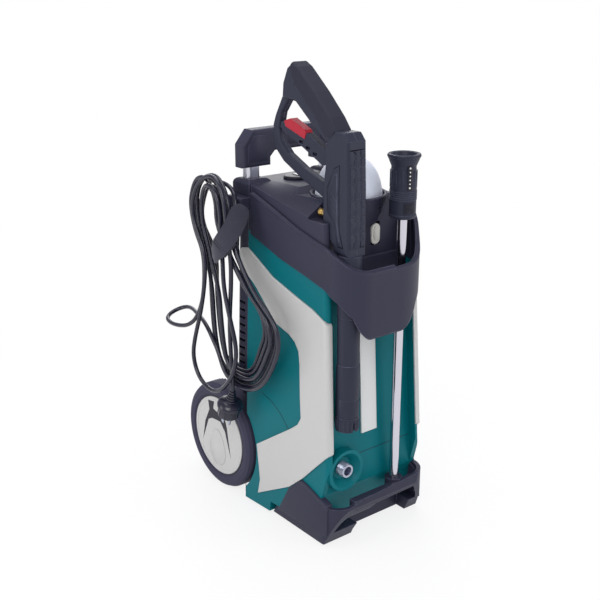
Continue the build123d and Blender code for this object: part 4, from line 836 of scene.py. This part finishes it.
def ribbon(stations, thickness, crown=0.0012):
    """A strap through (centre, normal, half width) stations, with a slightly crowned face."""
    mesh = bmesh.new()
    rows = []
    for number, (centre, normal, half) in enumerate(stations):
        before = Vector(stations[max(number - 1, 0)][0])
        after = Vector(stations[min(number + 1, len(stations) - 1)][0])
        normal = Vector(normal).normalized()
        across = (after - before).normalized().cross(normal).normalized()
        row = []
        for step in range(7):
            share = step / 3 - 1
            rise = normal * crown * (1 - share ** 2)
            row.append(mesh.verts.new(Vector(centre) + across * half * share + rise))
        rows.append(row)
    for row, following in zip(rows, rows[1:]):
        for step in range(6):
            mesh.faces.new((row[step], row[step + 1], following[step + 1], following[step]))
    bmesh.ops.recalc_face_normals(mesh, faces=mesh.faces)
    bmesh.ops.solidify(mesh, geom=list(mesh.faces), thickness=thickness)
    bmesh.ops.recalc_face_normals(mesh, faces=mesh.faces)
    return mesh


class WASHER_OT_strap(bpy.types.Operator):
    """Tie the hank to its upper hook with a strap"""

    bl_idname = "washer.strap"
    bl_label = "Cord Strap"

    def execute(self, context):
        parts = [ribbon(STRAP_LINE, 0.0022)]
        band = []
        for centre, normal, _ in STRAP_LINE[7:10]:
            inward = Vector(normal).normalized() * -0.0034
            band.append((Vector(centre) + inward, normal, 0.0172))
        parts.append(ribbon(band, 0.0018))
        (near, out, half), (far, _, _) = STRAP_LINE[8], STRAP_LINE[9]
        near, far = Vector(near), Vector(far)
        lift = Vector(out).normalized() * 0.0008
        fall = (far - near).normalized() * 0.0007
        for share in (0.25, 0.62):
            middle = near.lerp(far, share) + lift
            seam = [(middle - fall, out, half), (middle + fall, out, half)]
            parts.append(ribbon(seam, 0.0010))
        strap = make_piece("strap_tongue", joined(parts), "webbing", "housing")
        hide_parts("cord_strap")
        return {"FINISHED"}


# ------------------------------------------------------------------ planes that detail is laid on
def facing_front(y):
    """Takes (x, z, depth) to a plane across the washer."""
    return Matrix(((1, 0, 0, 0), (0, 0, 1, y), (0, 1, 0, 0), (0, 0, 0, 1)))


def facing_side(x):
    """Takes (y, z, depth) to a plane along the washer."""
    return Matrix(((0, 0, 1, x), (1, 0, 0, 0), (0, 1, 0, 0), (0, 0, 0, 1)))


def plate(outline, matrix, offset, width=0.0004, segments=2):
    """A raised plate from an outline on one of the planes."""
    mesh = outline_mesh(outline, matrix)
    raise_faces(mesh, offset)
    if width:
        soften(mesh, width, segments)
    return mesh


def on_line(corners, value):
    """The second coordinate of a broken line of (a, b) corners where the first is value."""
    for (a, b), (c, d) in zip(corners, corners[1:]):
        if min(a, c) <= value <= max(a, c):
            return b + (d - b) * (value - a) / (c - a)
    first, last = corners[0], corners[-1]
    return first[1] if abs(value - first[0]) < abs(value - last[0]) else last[1]


HOUSING_TOP = 0.560
HOUSING_REAR = 0.066


def front_face(z):
    """Y of the housing's recessed front face at a height."""
    return -0.158 + 0.033 * z / HOUSING_TOP


def flank(y, z):
    """Half width of the housing's side at a place."""
    front = -0.174 + 0.033 * z / HOUSING_TOP
    near = 0.101 - 0.013 * z / HOUSING_TOP
    far = 0.115 - 0.020 * z / HOUSING_TOP
    return near + (far - near) * (y - front) / (HOUSING_REAR - front)


# ------------------------------------------------------------------ gun and lance
# The gun's spine as (height, y), its two side panels as (y, z), and how far out they lie
SPINE = ((0.474, -0.1840), (0.560, -0.1830), (0.638, -0.1800))
SIDE_PANEL = (
    (-0.172, 0.487), (-0.161, 0.487), (-0.152, 0.520), (-0.1395, 0.535), (-0.1385, 0.568),
    (-0.153, 0.597), (-0.163, 0.603), (-0.163, 0.560), (-0.164, 0.512),
)
INNER_PANEL = (
    (-0.1655, 0.494), (-0.1625, 0.494), (-0.155, 0.524), (-0.1435, 0.538), (-0.1425, 0.565),
    (-0.154, 0.589), (-0.1595, 0.592), (-0.1595, 0.556), (-0.1605, 0.520),
)
GUN_HALF = 0.0179
PANEL_MIDDLE = Vector((-0.1540, 0.5450))
SPINE_BED = ((-0.0138, 0.4858), (0.0136, 0.4858), (0.0136, 0.6266), (-0.0138, 0.6266))
PAD_ROWS = 6
PAD_FOOT = 0.486
PAD_PITCH = 0.0235
# The barrel's bell and sleeve, and the rings of the gun's inlet, as (radius, height)
BELL = (
    (0.0168, 0.2206), (0.0180, 0.2210), (0.0180, 0.2475), (0.0176, 0.2482), (0.0174, 0.2490),
    (0.0178, 0.2500), (0.0180, 0.2510), (0.0178, 0.3000), (0.0168, 0.3060),
)
SLEEVE = ((0.0168, 0.3780), (0.0176, 0.3790), (0.0182, 0.4000), (0.0184, 0.4730), (0.0168, 0.4735))
GUN_INLET = (
    (0.0030, 0.0), (0.0056, 0.0), (0.0060, 0.0006), (0.0060, 0.0030), (0.0052, 0.0034),
    (0.0056, 0.0042), (0.0052, 0.0050), (0.0056, 0.0058), (0.0052, 0.0066), (0.0030, 0.0066),
)


def spine_pad(outline, lift=0.0011):
    """A tread pad on the gun's slightly leaning spine, from an (x, z) outline about its middle."""
    mesh = face_mesh([(GUN_X + x, on_line(SPINE, z) + 0.0003, z) for x, z in outline])
    raise_faces(mesh, (0, -lift, 0))
    return soften(mesh, 0.0004, 2, 0.3)


def pad_row(low, gap):
    """One row of pads across the spine: two that interlock, and two short ones beside them."""
    high = low + PAD_PITCH - gap
    step = low + 0.010
    pads = [
        spine_pad([
            (-0.0132, low), (-0.0074, low), (-0.0074, step - 0.003), (-0.0042, step + 0.001),
            (-0.0042, high - 0.004), (-0.0078, high - 0.0012), (-0.0078, high),
            (-0.0132, high)]),
        spine_pad([
            (-0.0064, low), (0.0054, low), (0.0054, high), (-0.0066, high),
            (-0.0066, high - 0.0006), (-0.0030, high - 0.0036), (-0.0030, step + 0.0004),
            (-0.0064, step - 0.0034)], 0.0008),
    ]
    for foot in (low, low + PAD_PITCH / 2):
        top = foot + PAD_PITCH / 2 - gap
        pads.append(spine_pad([
            (0.0066, foot + 0.0004), (0.0130, foot + 0.0018), (0.0130, top + 0.001),
            (0.0066, top)]))
    return pads


def side_plate(side, outline, lift, width):
    """A plate raised from one side of the gun."""
    plane = facing_side(GUN_X + side * GUN_HALF)
    return plate(outline, plane, (side * lift, 0, 0), width)


class WASHER_OT_gun(bpy.types.Operator):
    """Tread pads down the gun's spine, its side panels, barrel sleeves, collar grips and inlet"""

    bl_idname = "washer.gun"
    bl_label = "Gun Detail"

    def execute(self, context):
        gap = context.scene.washer_sizes.groove * 2.4
        pads = []
        for row in range(PAD_ROWS):
            pads += pad_row(PAD_FOOT + PAD_PITCH * row, gap)
        make_piece("spine_pads", joined(pads), "gun_plastic", "gun")
        # A near-black bed under the spine pads, and a wider one behind each side panel: painted
        # shade that shows through the gaps round them.
        shadows = [spine_pad(SPINE_BED, 0.0004)]
        panels = []
        wider = []
        for y, z in SIDE_PANEL:
            out = Vector((y, z)) - PANEL_MIDDLE
            wider.append((out.x * 1.10 + PANEL_MIDDLE.x, out.y * 1.025 + PANEL_MIDDLE.y))
        for side in (-1, 1):
            shadows.append(side_plate(side, wider, 0.0003, 0.0))
            panels.append(side_plate(side, SIDE_PANEL, 0.0010, 0.0006))
            panels.append(side_plate(side, INNER_PANEL, 0.0018, 0.0006))
        make_piece(
            "gun_groove_shade", joined(shadows), "groove_black", "gun", smooth=False)
        make_piece("gun_panels", joined(panels), "gun_plastic", "gun")
        ribs = []
        for shift in (0.0, 0.0085, 0.0170):
            ribs.append(plate(
                [(-0.1575, 0.534 + shift), (-0.1475, 0.545 + shift), (-0.1475, 0.5475 + shift),
                 (-0.1575, 0.5365 + shift)], facing_side(GUN_X - 0.0190), (-0.0010, 0, 0), 0.0003))
        make_piece("panel_ribs", joined(ribs), "gun_plastic", "gun")

        rest = Matrix.Translation((GUN_X, BARREL_Y, 0.0))
        sleeves = joined([turned(BELL, rest, 56), turned(SLEEVE, rest, 56)])
        make_piece("barrel_sleeves", sleeves, "gun_plastic", "gun")
        grips = []
        for turn in round_axis(18, math.tau / 36):
            grip = cuboid((0.0176, -0.0011, 0.2000), (0.0188, 0.0011, 0.2160), 0.0004)
            grips.append(moved(grip, rest @ turn))
        make_piece("collar_grips", joined(grips), "gun_plastic", "gun_collar")
        inlet = turned(GUN_INLET, stood((-0.072, -0.1122, 0.527), FORWARD), 32)
        make_piece("inlet_rings", inlet, "brass", "gun")
        return {"FINISHED"}


# Rings of the lance's head and foot as (radius, height)
HEAD_WAIST = (
    (0.0180, 0.5125), (0.0196, 0.5140), (0.0207, 0.5160), (0.0207, 0.5185), (0.0196, 0.5190),
    (0.0180, 0.5190),
)
HEAD_MOUTH = (
    (0.0226, 0.6045), (0.0240, 0.6030), (0.0249, 0.6045), (0.0250, 0.6062), (0.0242, 0.6082),
    (0.0226, 0.6086), (0.0210, 0.6078), (0.0212, 0.6060),
)
FOOT_RING = (
    (0.0070, 0.0640), (0.0100, 0.0640), (0.0106, 0.0650), (0.0106, 0.0668), (0.0096, 0.0676),
    (0.0084, 0.0690), (0.0070, 0.0690),
)
# The way that the head's catch and marks face, and how close to them the flutes stop, in radians
HEAD_AIM = math.radians(-106.8)
FLUTES = 12
FLUTE_START = 0.2
FLUTE_STOP = 0.30
MARK_HALVES = (0.0018, 0.0014, 0.0014, 0.0014, 0.0014, 0.0018)


def head_rings(rest):
    """Grip rings, waist and mouth of the lance's head, and flutes away from its catch."""
    rings = []
    for number in range(5):
        low = 0.5405 + 0.0030 * number
        rings.append(turned([
            (0.0196, low), (0.0206, low + 0.0003), (0.0206, low + 0.0016),
            (0.0196, low + 0.0019)], rest, 56))
    rings.append(turned(HEAD_WAIST, rest, 56))
    rings.append(turned(HEAD_MOUTH, rest, 56))
    for number, turn in enumerate(round_axis(FLUTES, FLUTE_START)):
        away = math.tau * number / FLUTES + FLUTE_START - HEAD_AIM
        if abs(math.remainder(away, math.tau)) >= FLUTE_STOP:
            flute = cuboid((0.0192, -0.0016, 0.5590), (0.0203, 0.0016, 0.5850), 0.0005)
            rings.append(moved(flute, rest @ turn))
    return joined(rings)


def head_catch():
    """The catch button with its three ribs, under the window that the marks stand in."""
    parts = [
        cuboid((0.0188, -0.0042, 0.5560), (0.0204, 0.0042, 0.5930), 0.0008),
        cuboid((0.0188, -0.0080, 0.5215), (0.0207, 0.0080, 0.5375), 0.0008),
        cuboid((0.0190, -0.0052, 0.5240), (0.0220, 0.0052, 0.5350), 0.0007),
    ]
    for low in (0.5262, 0.5290, 0.5318):
        parts.append(cuboid((0.0215, -0.0040, low), (0.0225, 0.0040, low + 0.0012), 0.0003))
    return joined(parts)


def spray_marks(turn):
    """A column of small lozenges, one for each step of the spray."""
    marks = []
    for number, half in enumerate(MARK_HALVES):
        place = Matrix.Translation((0, 0.5605 + 0.0058 * number, 0))
        lozenge = [(0, -half), (half, 0), (0, half), (-half, 0)]
        mark = outline_mesh(lozenge, turn @ facing_side(0.0203) @ place)
        marks.append(raise_faces(mark, turn.to_3x3() @ Vector((0.0004, 0, 0))))
    return joined(marks)


class WASHER_OT_lance(bpy.types.Operator):
    """Grip rings, flutes, catch button and spray marks of the lance's head, and its foot nut"""

    bl_idname = "washer.lance"
    bl_label = "Lance Detail"

    def execute(self, context):
        rest = Matrix.Translation(LANCE)
        make_piece("head_rings", head_rings(rest), "gun_plastic", "lance_head")
        turn = rest @ Matrix.Rotation(HEAD_AIM, 4, "Z")
        catch = moved(head_catch(), turn)
        make_piece("head_catch", catch, "black_plastic", "lance_head")
        make_piece(
            "spray_marks", spray_marks(turn), "switch_white", "lance_head",
            smooth=False)
        make_piece("foot_ring", turned(FOOT_RING, rest, 40), "chrome", "lance")
        return {"FINISHED"}


# ------------------------------------------------------------------ housing
FITTING_LIP = (
    (0.0070, 0.0), (0.0104, 0.0), (0.0110, 0.0007), (0.0106, 0.0016), (0.0076, 0.0016),
)
FITTING_NUT = (
    (0.0108, 0.0), (0.0132, 0.0), (0.0138, 0.0006), (0.0138, 0.0020), (0.0130, 0.0026),
    (0.0108, 0.0026),
)
SIEVE = (
    (0.0, 0.0), (0.0086, 0.0), (0.0090, 0.0006), (0.0086, 0.0012), (0.0060, 0.0018), (0.0, 0.0020),
)
# Seams on each flank as (y, z), and the two runs of the front seam as (low x, high x)
FLANK_SEAMS = (
    ((-0.004, 0.211), (-0.030, 0.204), (-0.052, 0.190), (-0.072, 0.170)),
    ((0.0335, 0.016), (0.0335, 0.120), (0.0335, 0.240)),
)
FRONT_SEAMS = ((-0.088, -0.084), (-0.030, 0.088))
FRONT_SEAM_HEIGHT = 0.134


def thread(count, pitch, crest, root, matrix):
    """Rings of a screw thread over a packed cylinder."""
    profile = [(root - 0.0006, 0.0)]
    for turn in range(count):
        start = turn * pitch
        profile += [
            (root, start + pitch * 0.05), (crest, start + pitch * 0.38),
            (crest, start + pitch * 0.55), (root, start + pitch * 0.92)]
    profile.append((root - 0.0006, count * pitch))
    return turned(profile, matrix, 64)


def flank_strip(side, route, width, lift=0.00025):
    """A narrow dark seam line laid on the housing's side along (y, z) corners."""
    mesh = bmesh.new()
    corners = [Vector(corner) for corner in route]
    corners.append(2 * corners[-1] - corners[-2])
    rails = []
    for corner, following in zip(corners, corners[1:]):
        along = (following - corner).normalized()
        across = Vector((-along.y, along.x)) * width / 2
        for y, z in (corner + across, corner - across):
            rails.append(mesh.verts.new((side * (flank(y, z) + lift), y, z)))
    for start in range(0, len(rails) - 2, 2):
        mesh.faces.new((rails[start], rails[start + 1], rails[start + 3], rails[start + 2]))
    return raise_faces(mesh, (-side * 0.0006, 0, 0))


class WASHER_OT_housing(bpy.types.Operator):
    """Seams of the housing, and the threads, nut and sieve of its outlet and inlet"""

    bl_idname = "washer.housing"
    bl_label = "Housing Detail"

    def execute(self, context):
        gap = context.scene.washer_sizes.groove
        seams = [flank_strip(side, route, gap) for side in (-1, 1) for route in FLANK_SEAMS]
        for low, high in FRONT_SEAMS:
            y, z = front_face(FRONT_SEAM_HEIGHT), FRONT_SEAM_HEIGHT
            seams.append(cuboid((low, y - 0.0002, z - gap / 2), (high, y + 0.0006, z + gap / 2)))
        make_piece(
            "housing_seams", joined(seams), "black_plastic", "housing",
            smooth=False)
        outlet = joined([
            thread(8, 0.0015, 0.01155, 0.01108, stood(fitted(OUTLET, -0.1540), FORWARD)),
            turned(FITTING_LIP, stood(fitted(OUTLET, -0.1670), FORWARD), 48),
            turned(FITTING_NUT, stood(fitted(OUTLET, -0.1500), FORWARD), 6)])
        make_piece("outlet_thread", outlet, "nickel", "housing")
        tap = thread(5, 0.0018, 0.01385, 0.01328, stood(fitted(INLET, 0.1310), REARWARD))
        make_piece("inlet_thread", tap, "brass", "housing")
        sieve = turned(SIEVE, stood(fitted(INLET, 0.1360), REARWARD), 40)
        make_piece("inlet_sieve", sieve, "black_plastic", "housing")
        return {"FINISHED"}


# ------------------------------------------------------------------ basket
# The basket's top edge on its left and right side, as (y, height)
LEFT_RIM = (
    (-0.210, 0.446), (-0.196, 0.452), (-0.180, 0.466), (-0.160, 0.480), (-0.129, 0.486),
    (-0.084, 0.498), (-0.024, 0.520), (0.024, 0.536),
)
RIGHT_RIM = (
    (-0.210, 0.446), (-0.190, 0.450), (-0.170, 0.468), (-0.157, 0.496), (-0.140, 0.516),
    (-0.084, 0.520), (-0.024, 0.528), (0.024, 0.536),
)
# How far in from the basket's outside the middle of its edge lies, and its front corners
RIM_INSET = 0.0035
LEFT_CORNER, LEFT_RADIUS = Vector((-0.048, -0.156)), 0.046
RIGHT_CORNER, RIGHT_RADIUS = Vector((0.011, -0.118)), 0.084
BASKET_FRONT = -0.202


def rim_corner(corner, radius, turn, edge):
    """A point of the rim, round one front corner of the basket."""
    x = corner.x + (radius - RIM_INSET) * math.cos(turn)
    y = corner.y + (radius - RIM_INSET) * math.sin(turn)
    return x, y, on_line(edge, y - RIM_INSET)


def rim_route():
    """Middle of the basket's top edge, from its left rear corner round the front to the right."""
    points = []
    for y in (0.020, -0.024, -0.060, -0.084, -0.110, -0.129, -0.146):
        points.append((
            -0.101 + RIM_INSET + 0.007 * (0.024 - y) / 0.180, y, on_line(LEFT_RIM, y)))
    for step in range(1, 8):
        turn = math.pi * (1 + step / 14)
        points.append(rim_corner(LEFT_CORNER, LEFT_RADIUS, turn, LEFT_RIM))
    points.append((-0.020, BASKET_FRONT + RIM_INSET, 0.446))
    for step in range(10):
        turn = math.pi * (1.5 + step / 20)
        points.append(rim_corner(RIGHT_CORNER, RIGHT_RADIUS, turn, RIGHT_RIM))
    for y in (-0.110, -0.084, -0.050, -0.024, 0.020):
        points.append((
            0.095 - RIM_INSET + 0.006 * (0.118 + y) / 0.142, y, on_line(RIGHT_RIM, y)))
    return points


class WASHER_OT_basket(bpy.types.Operator):
    """The rolled rim round the top of the accessory basket"""

    bl_idname = "washer.basket"
    bl_label = "Basket Rim"

    def execute(self, context):
        route = [(x, y, z - 0.0012) for x, y, z in rim_route()]
        rim = route_curve("basket_rim", route, 0.0042, 8, 4)
        rim.data.materials.append(MATERIALS["dark_plastic"])
        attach(rim, "housing")
        return {"FINISHED"}


# ------------------------------------------------------------------ wheels
TYRE_MIDDLE = 0.0972
# Rings of a tyre and its hub cap as (radius, distance out)
TYRE_LINE = ((0.0930, -0.0016), (0.0939, -0.0012), (0.0939, 0.0012), (0.0930, 0.0016))
TYRE_BEAD = (
    (0.0745, 0.0), (0.0775, 0.0009), (0.0800, 0.0006), (0.0815, 0.0), (0.0800, -0.0008),
    (0.0760, -0.0012),
)
CAP_RING = (
    (0.0640, 0.0), (0.0672, 0.0006), (0.0696, 0.0004), (0.0702, -0.0008), (0.0640, -0.0012),
)


def wheel_ring(profile, side, x):
    """A ring round one wheel, at a distance from the middle of the washer."""
    return turned(profile, stood((side * x, AXLE.y, AXLE.z), (side, 0, 0)), 96)


def tread(side, count):
    """Leaning blocks round both shoulders of a tyre, and the line round its middle."""
    parts = []
    for number in range(count):
        for face, lean in ((0.1065, 1), (0.0880, -1)):
            turn = Matrix.Rotation(math.tau * (number + 0.25 * lean) / count, 4, "X")
            tilt = Matrix.Rotation(lean * 0.30, 4, "Z")
            place = Matrix.Translation((side * face, AXLE.y, AXLE.z)) @ turn @ tilt
            block = cuboid((-0.0034, -0.0021, 0.0905), (0.0034, 0.0021, 0.0938))
            parts.append(moved(block, place))
    parts.append(wheel_ring(TYRE_LINE, side, TYRE_MIDDLE))
    return joined(parts)


def cap_oval():
    """The raised oval on a hub cap, narrower at its top, as (y, z)."""
    oval = []
    for step in range(28):
        turn = math.tau * step / 28
        wide = 0.0235 * math.cos(turn) * (1 - 0.25 * math.sin(turn))
        oval.append((AXLE.y + 0.004 + wide, AXLE.z - 0.024 + 0.034 * math.sin(turn)))
    return oval


class WASHER_OT_wheels(bpy.types.Operator):
    """Tread blocks on the tyres' shoulders, and the pressed panels and ring of the hub caps"""

    bl_idname = "washer.wheels"
    bl_label = "Wheel Detail"

    def execute(self, context):
        count = context.scene.washer_sizes.tread_count
        for side, hand in ((-1, "left"), (1, "right")):
            body = f"wheel_{hand}"
            make_piece(f"tread_{hand}", tread(side, count), "tyre", body, smooth=False)
            bead = wheel_ring(TYRE_BEAD, side, 0.1168)
            make_piece(f"tyre_bead_{hand}", bead, "tyre", body)
            ring = wheel_ring(CAP_RING, side, 0.1162)
            make_piece(f"cap_ring_{hand}", ring, "pale_plastic", body)
            panel = plate(cap_oval(), facing_side(side * 0.1158), (side * 0.0010, 0, 0), 0.0008, 3)
            make_piece(f"cap_panel_{hand}", panel, "pale_plastic", body)
        return {"FINISHED"}


# ------------------------------------------------------------------ handle
# End panel of the handle's right post, and the pad under its bar, as (x, z)
END_PANEL = (
    (0.092, 0.578), (0.092, 0.603), (0.079, 0.619), (0.060, 0.619), (0.054, 0.606), (0.054, 0.578),
)
BAR_PAD = ((-0.038, 0.600), (-0.034, 0.620), (0.034, 0.620), (0.038, 0.600))
HANDLE_FRONT, HANDLE_REAR = 0.0400, 0.0660


class WASHER_OT_handle(bpy.types.Operator):
    """End panels of the handle's posts, and the pad on its bar"""

    bl_idname = "washer.handle"
    bl_label = "Handle Detail"

    def execute(self, context):
        pads = []
        for side in (-1, 1):
            panel = [(side * x, z) for x, z in END_PANEL]
            for face, out in ((HANDLE_FRONT, -1), (HANDLE_REAR, 1)):
                pads.append(plate(panel, facing_front(face), (0, out * 0.0008, 0), 0.0005))
        pads.append(plate(BAR_PAD, facing_front(HANDLE_FRONT), (0, -0.0008, 0), 0.0005))
        make_piece("handle_pads", joined(pads), "dark_plastic", "handle")
        return {"FINISHED"}


# ------------------------------------------------------------------ cover, bottle and latch
CRADLE_LIP = (
    (0.0545, 0.5405), (0.0585, 0.5405), (0.0592, 0.5415), (0.0590, 0.5430), (0.0575, 0.5438),
    (0.0548, 0.5436), (0.0540, 0.5420),
)
BOTTLE_LINE = ((0.0504, 0.5412), (0.0513, 0.5416), (0.0513, 0.5424), (0.0504, 0.5428))
LATCH_FACE = -0.1312


def thumb_pad():
    """A pad with round ends on the front of the bottle's latch."""
    outline = []
    for step in range(16):
        turn = math.tau * step / 16
        rise = 0.0075 * math.sin(turn) + (0.0040 if math.sin(turn) > 0 else -0.0040)
        outline.append((0.022 + 0.0052 * math.cos(turn), 0.4845 + rise))
    return plate(outline, facing_front(LATCH_FACE), (0, -0.0022, 0), 0.0004)


class WASHER_OT_cover(bpy.types.Operator):
    """The lip of the bottle's cradle, the bottle's mould line and the latch's thumb pad"""

    bl_idname = "washer.cover"
    bl_label = "Cover Detail"

    def execute(self, context):
        rest = Matrix.Translation(BOTTLE)
        lip = turned(CRADLE_LIP, rest, 72)
        make_piece("cradle_lip", lip, "dark_plastic", "housing")
        make_piece("bottle_line", turned(BOTTLE_LINE, rest, 72), "frosted", "bottle")
        make_piece("latch_pad", thumb_pad(), "switch_white", "latch")
        return {"FINISHED"}


# ------------------------------------------------------------------ base
# A cheek of the base and the lip along its top edge, as (y, z)
CHEEK = (
    (-0.0530, 0.0200), (-0.0778, 0.0691), (-0.1048, 0.0940), (-0.1095, 0.0956),
    (-0.1238, 0.0919), (-0.1380, 0.0864), (-0.1520, 0.0808), (-0.1680, 0.0740),
    (-0.1680, 0.0200),
)
CHEEK_LIP = CHEEK[2:8] + (
    (-0.1680, 0.0675), (-0.1530, 0.0738), (-0.1390, 0.0794), (-0.1250, 0.0846),
    (-0.1130, 0.0882), (-0.1010, 0.0880),
)


def flank_plate(side, outline, inner, outer, width):
    """A plate on the housing's flank, from inner to outer of its surface."""
    mesh = face_mesh([(side * (flank(y, z) + inner), y, z) for y, z in outline])
    raise_faces(mesh, (side * (outer - inner), 0, 0))
    return soften(mesh, width, 3)


class WASHER_OT_base(bpy.types.Operator):
    """The cheeks of the base that run up the housing's flanks, with their rolled lips"""

    bl_idname = "washer.base"
    bl_label = "Base Cheeks"

    def execute(self, context):
        cheeks = []
        for side in (-1, 1):
            cheeks.append(flank_plate(side, CHEEK, -0.0090, 0.0022, 0.0010))
            cheeks.append(flank_plate(side, CHEEK_LIP, 0.0, 0.0036, 0.0012))
        make_piece("base_cheeks", joined(cheeks), "dark_plastic", "housing")
        return {"FINISHED"}


# ------------------------------------------------------------------ panel and registration
STEPS = (
    WASHER_OT_stage,
    WASHER_OT_finish_model,
    WASHER_OT_cord,
    WASHER_OT_strap,
    WASHER_OT_gun,
    WASHER_OT_lance,
    WASHER_OT_housing,
    WASHER_OT_basket,
    WASHER_OT_wheels,
    WASHER_OT_handle,
    WASHER_OT_cover,
    WASHER_OT_base,
)


class WASHER_PT_dresser(bpy.types.Panel):
    """Sizes, colours and the steps that dress the washer, in order"""

    bl_idname = "WASHER_PT_dresser"
    bl_label = "Pressure Washer"
    bl_space_type = "VIEW_3D"
    bl_region_type = "UI"
    bl_category = "Washer"

    def draw(self, context):
        layout = self.layout
        sizes = layout.box()
        sizes.label(text="Sizes")
        for name in WasherSizes.__annotations__:
            sizes.prop(context.scene.washer_sizes, name)
        tones = layout.box()
        tones.label(text="Colours")
        for name in WasherColours.__annotations__:
            tones.prop(context.scene.washer_colours, name)
        steps = layout.column(align=True)
        for step in STEPS:
            steps.operator(step.bl_idname)


CLASSES = (WasherColours, WasherSizes, *STEPS, WASHER_PT_dresser)


def register():
    """Add the operators, the panel and their settings to Blender."""
    for item in CLASSES:
        bpy.utils.register_class(item)
    bpy.types.Scene.washer_colours = PointerProperty(type=WasherColours)
    bpy.types.Scene.washer_sizes = PointerProperty(type=WasherSizes)


def unregister():
    """Take them away again."""
    del bpy.types.Scene.washer_sizes
    del bpy.types.Scene.washer_colours
    for item in reversed(CLASSES):
        bpy.utils.unregister_class(item)


def main():
    """Run every step in order."""
    register()
    for step in STEPS:
        group, name = step.bl_idname.split(".")
        getattr(getattr(bpy.ops, group), name)()


if __name__ == "__main__":
    main()
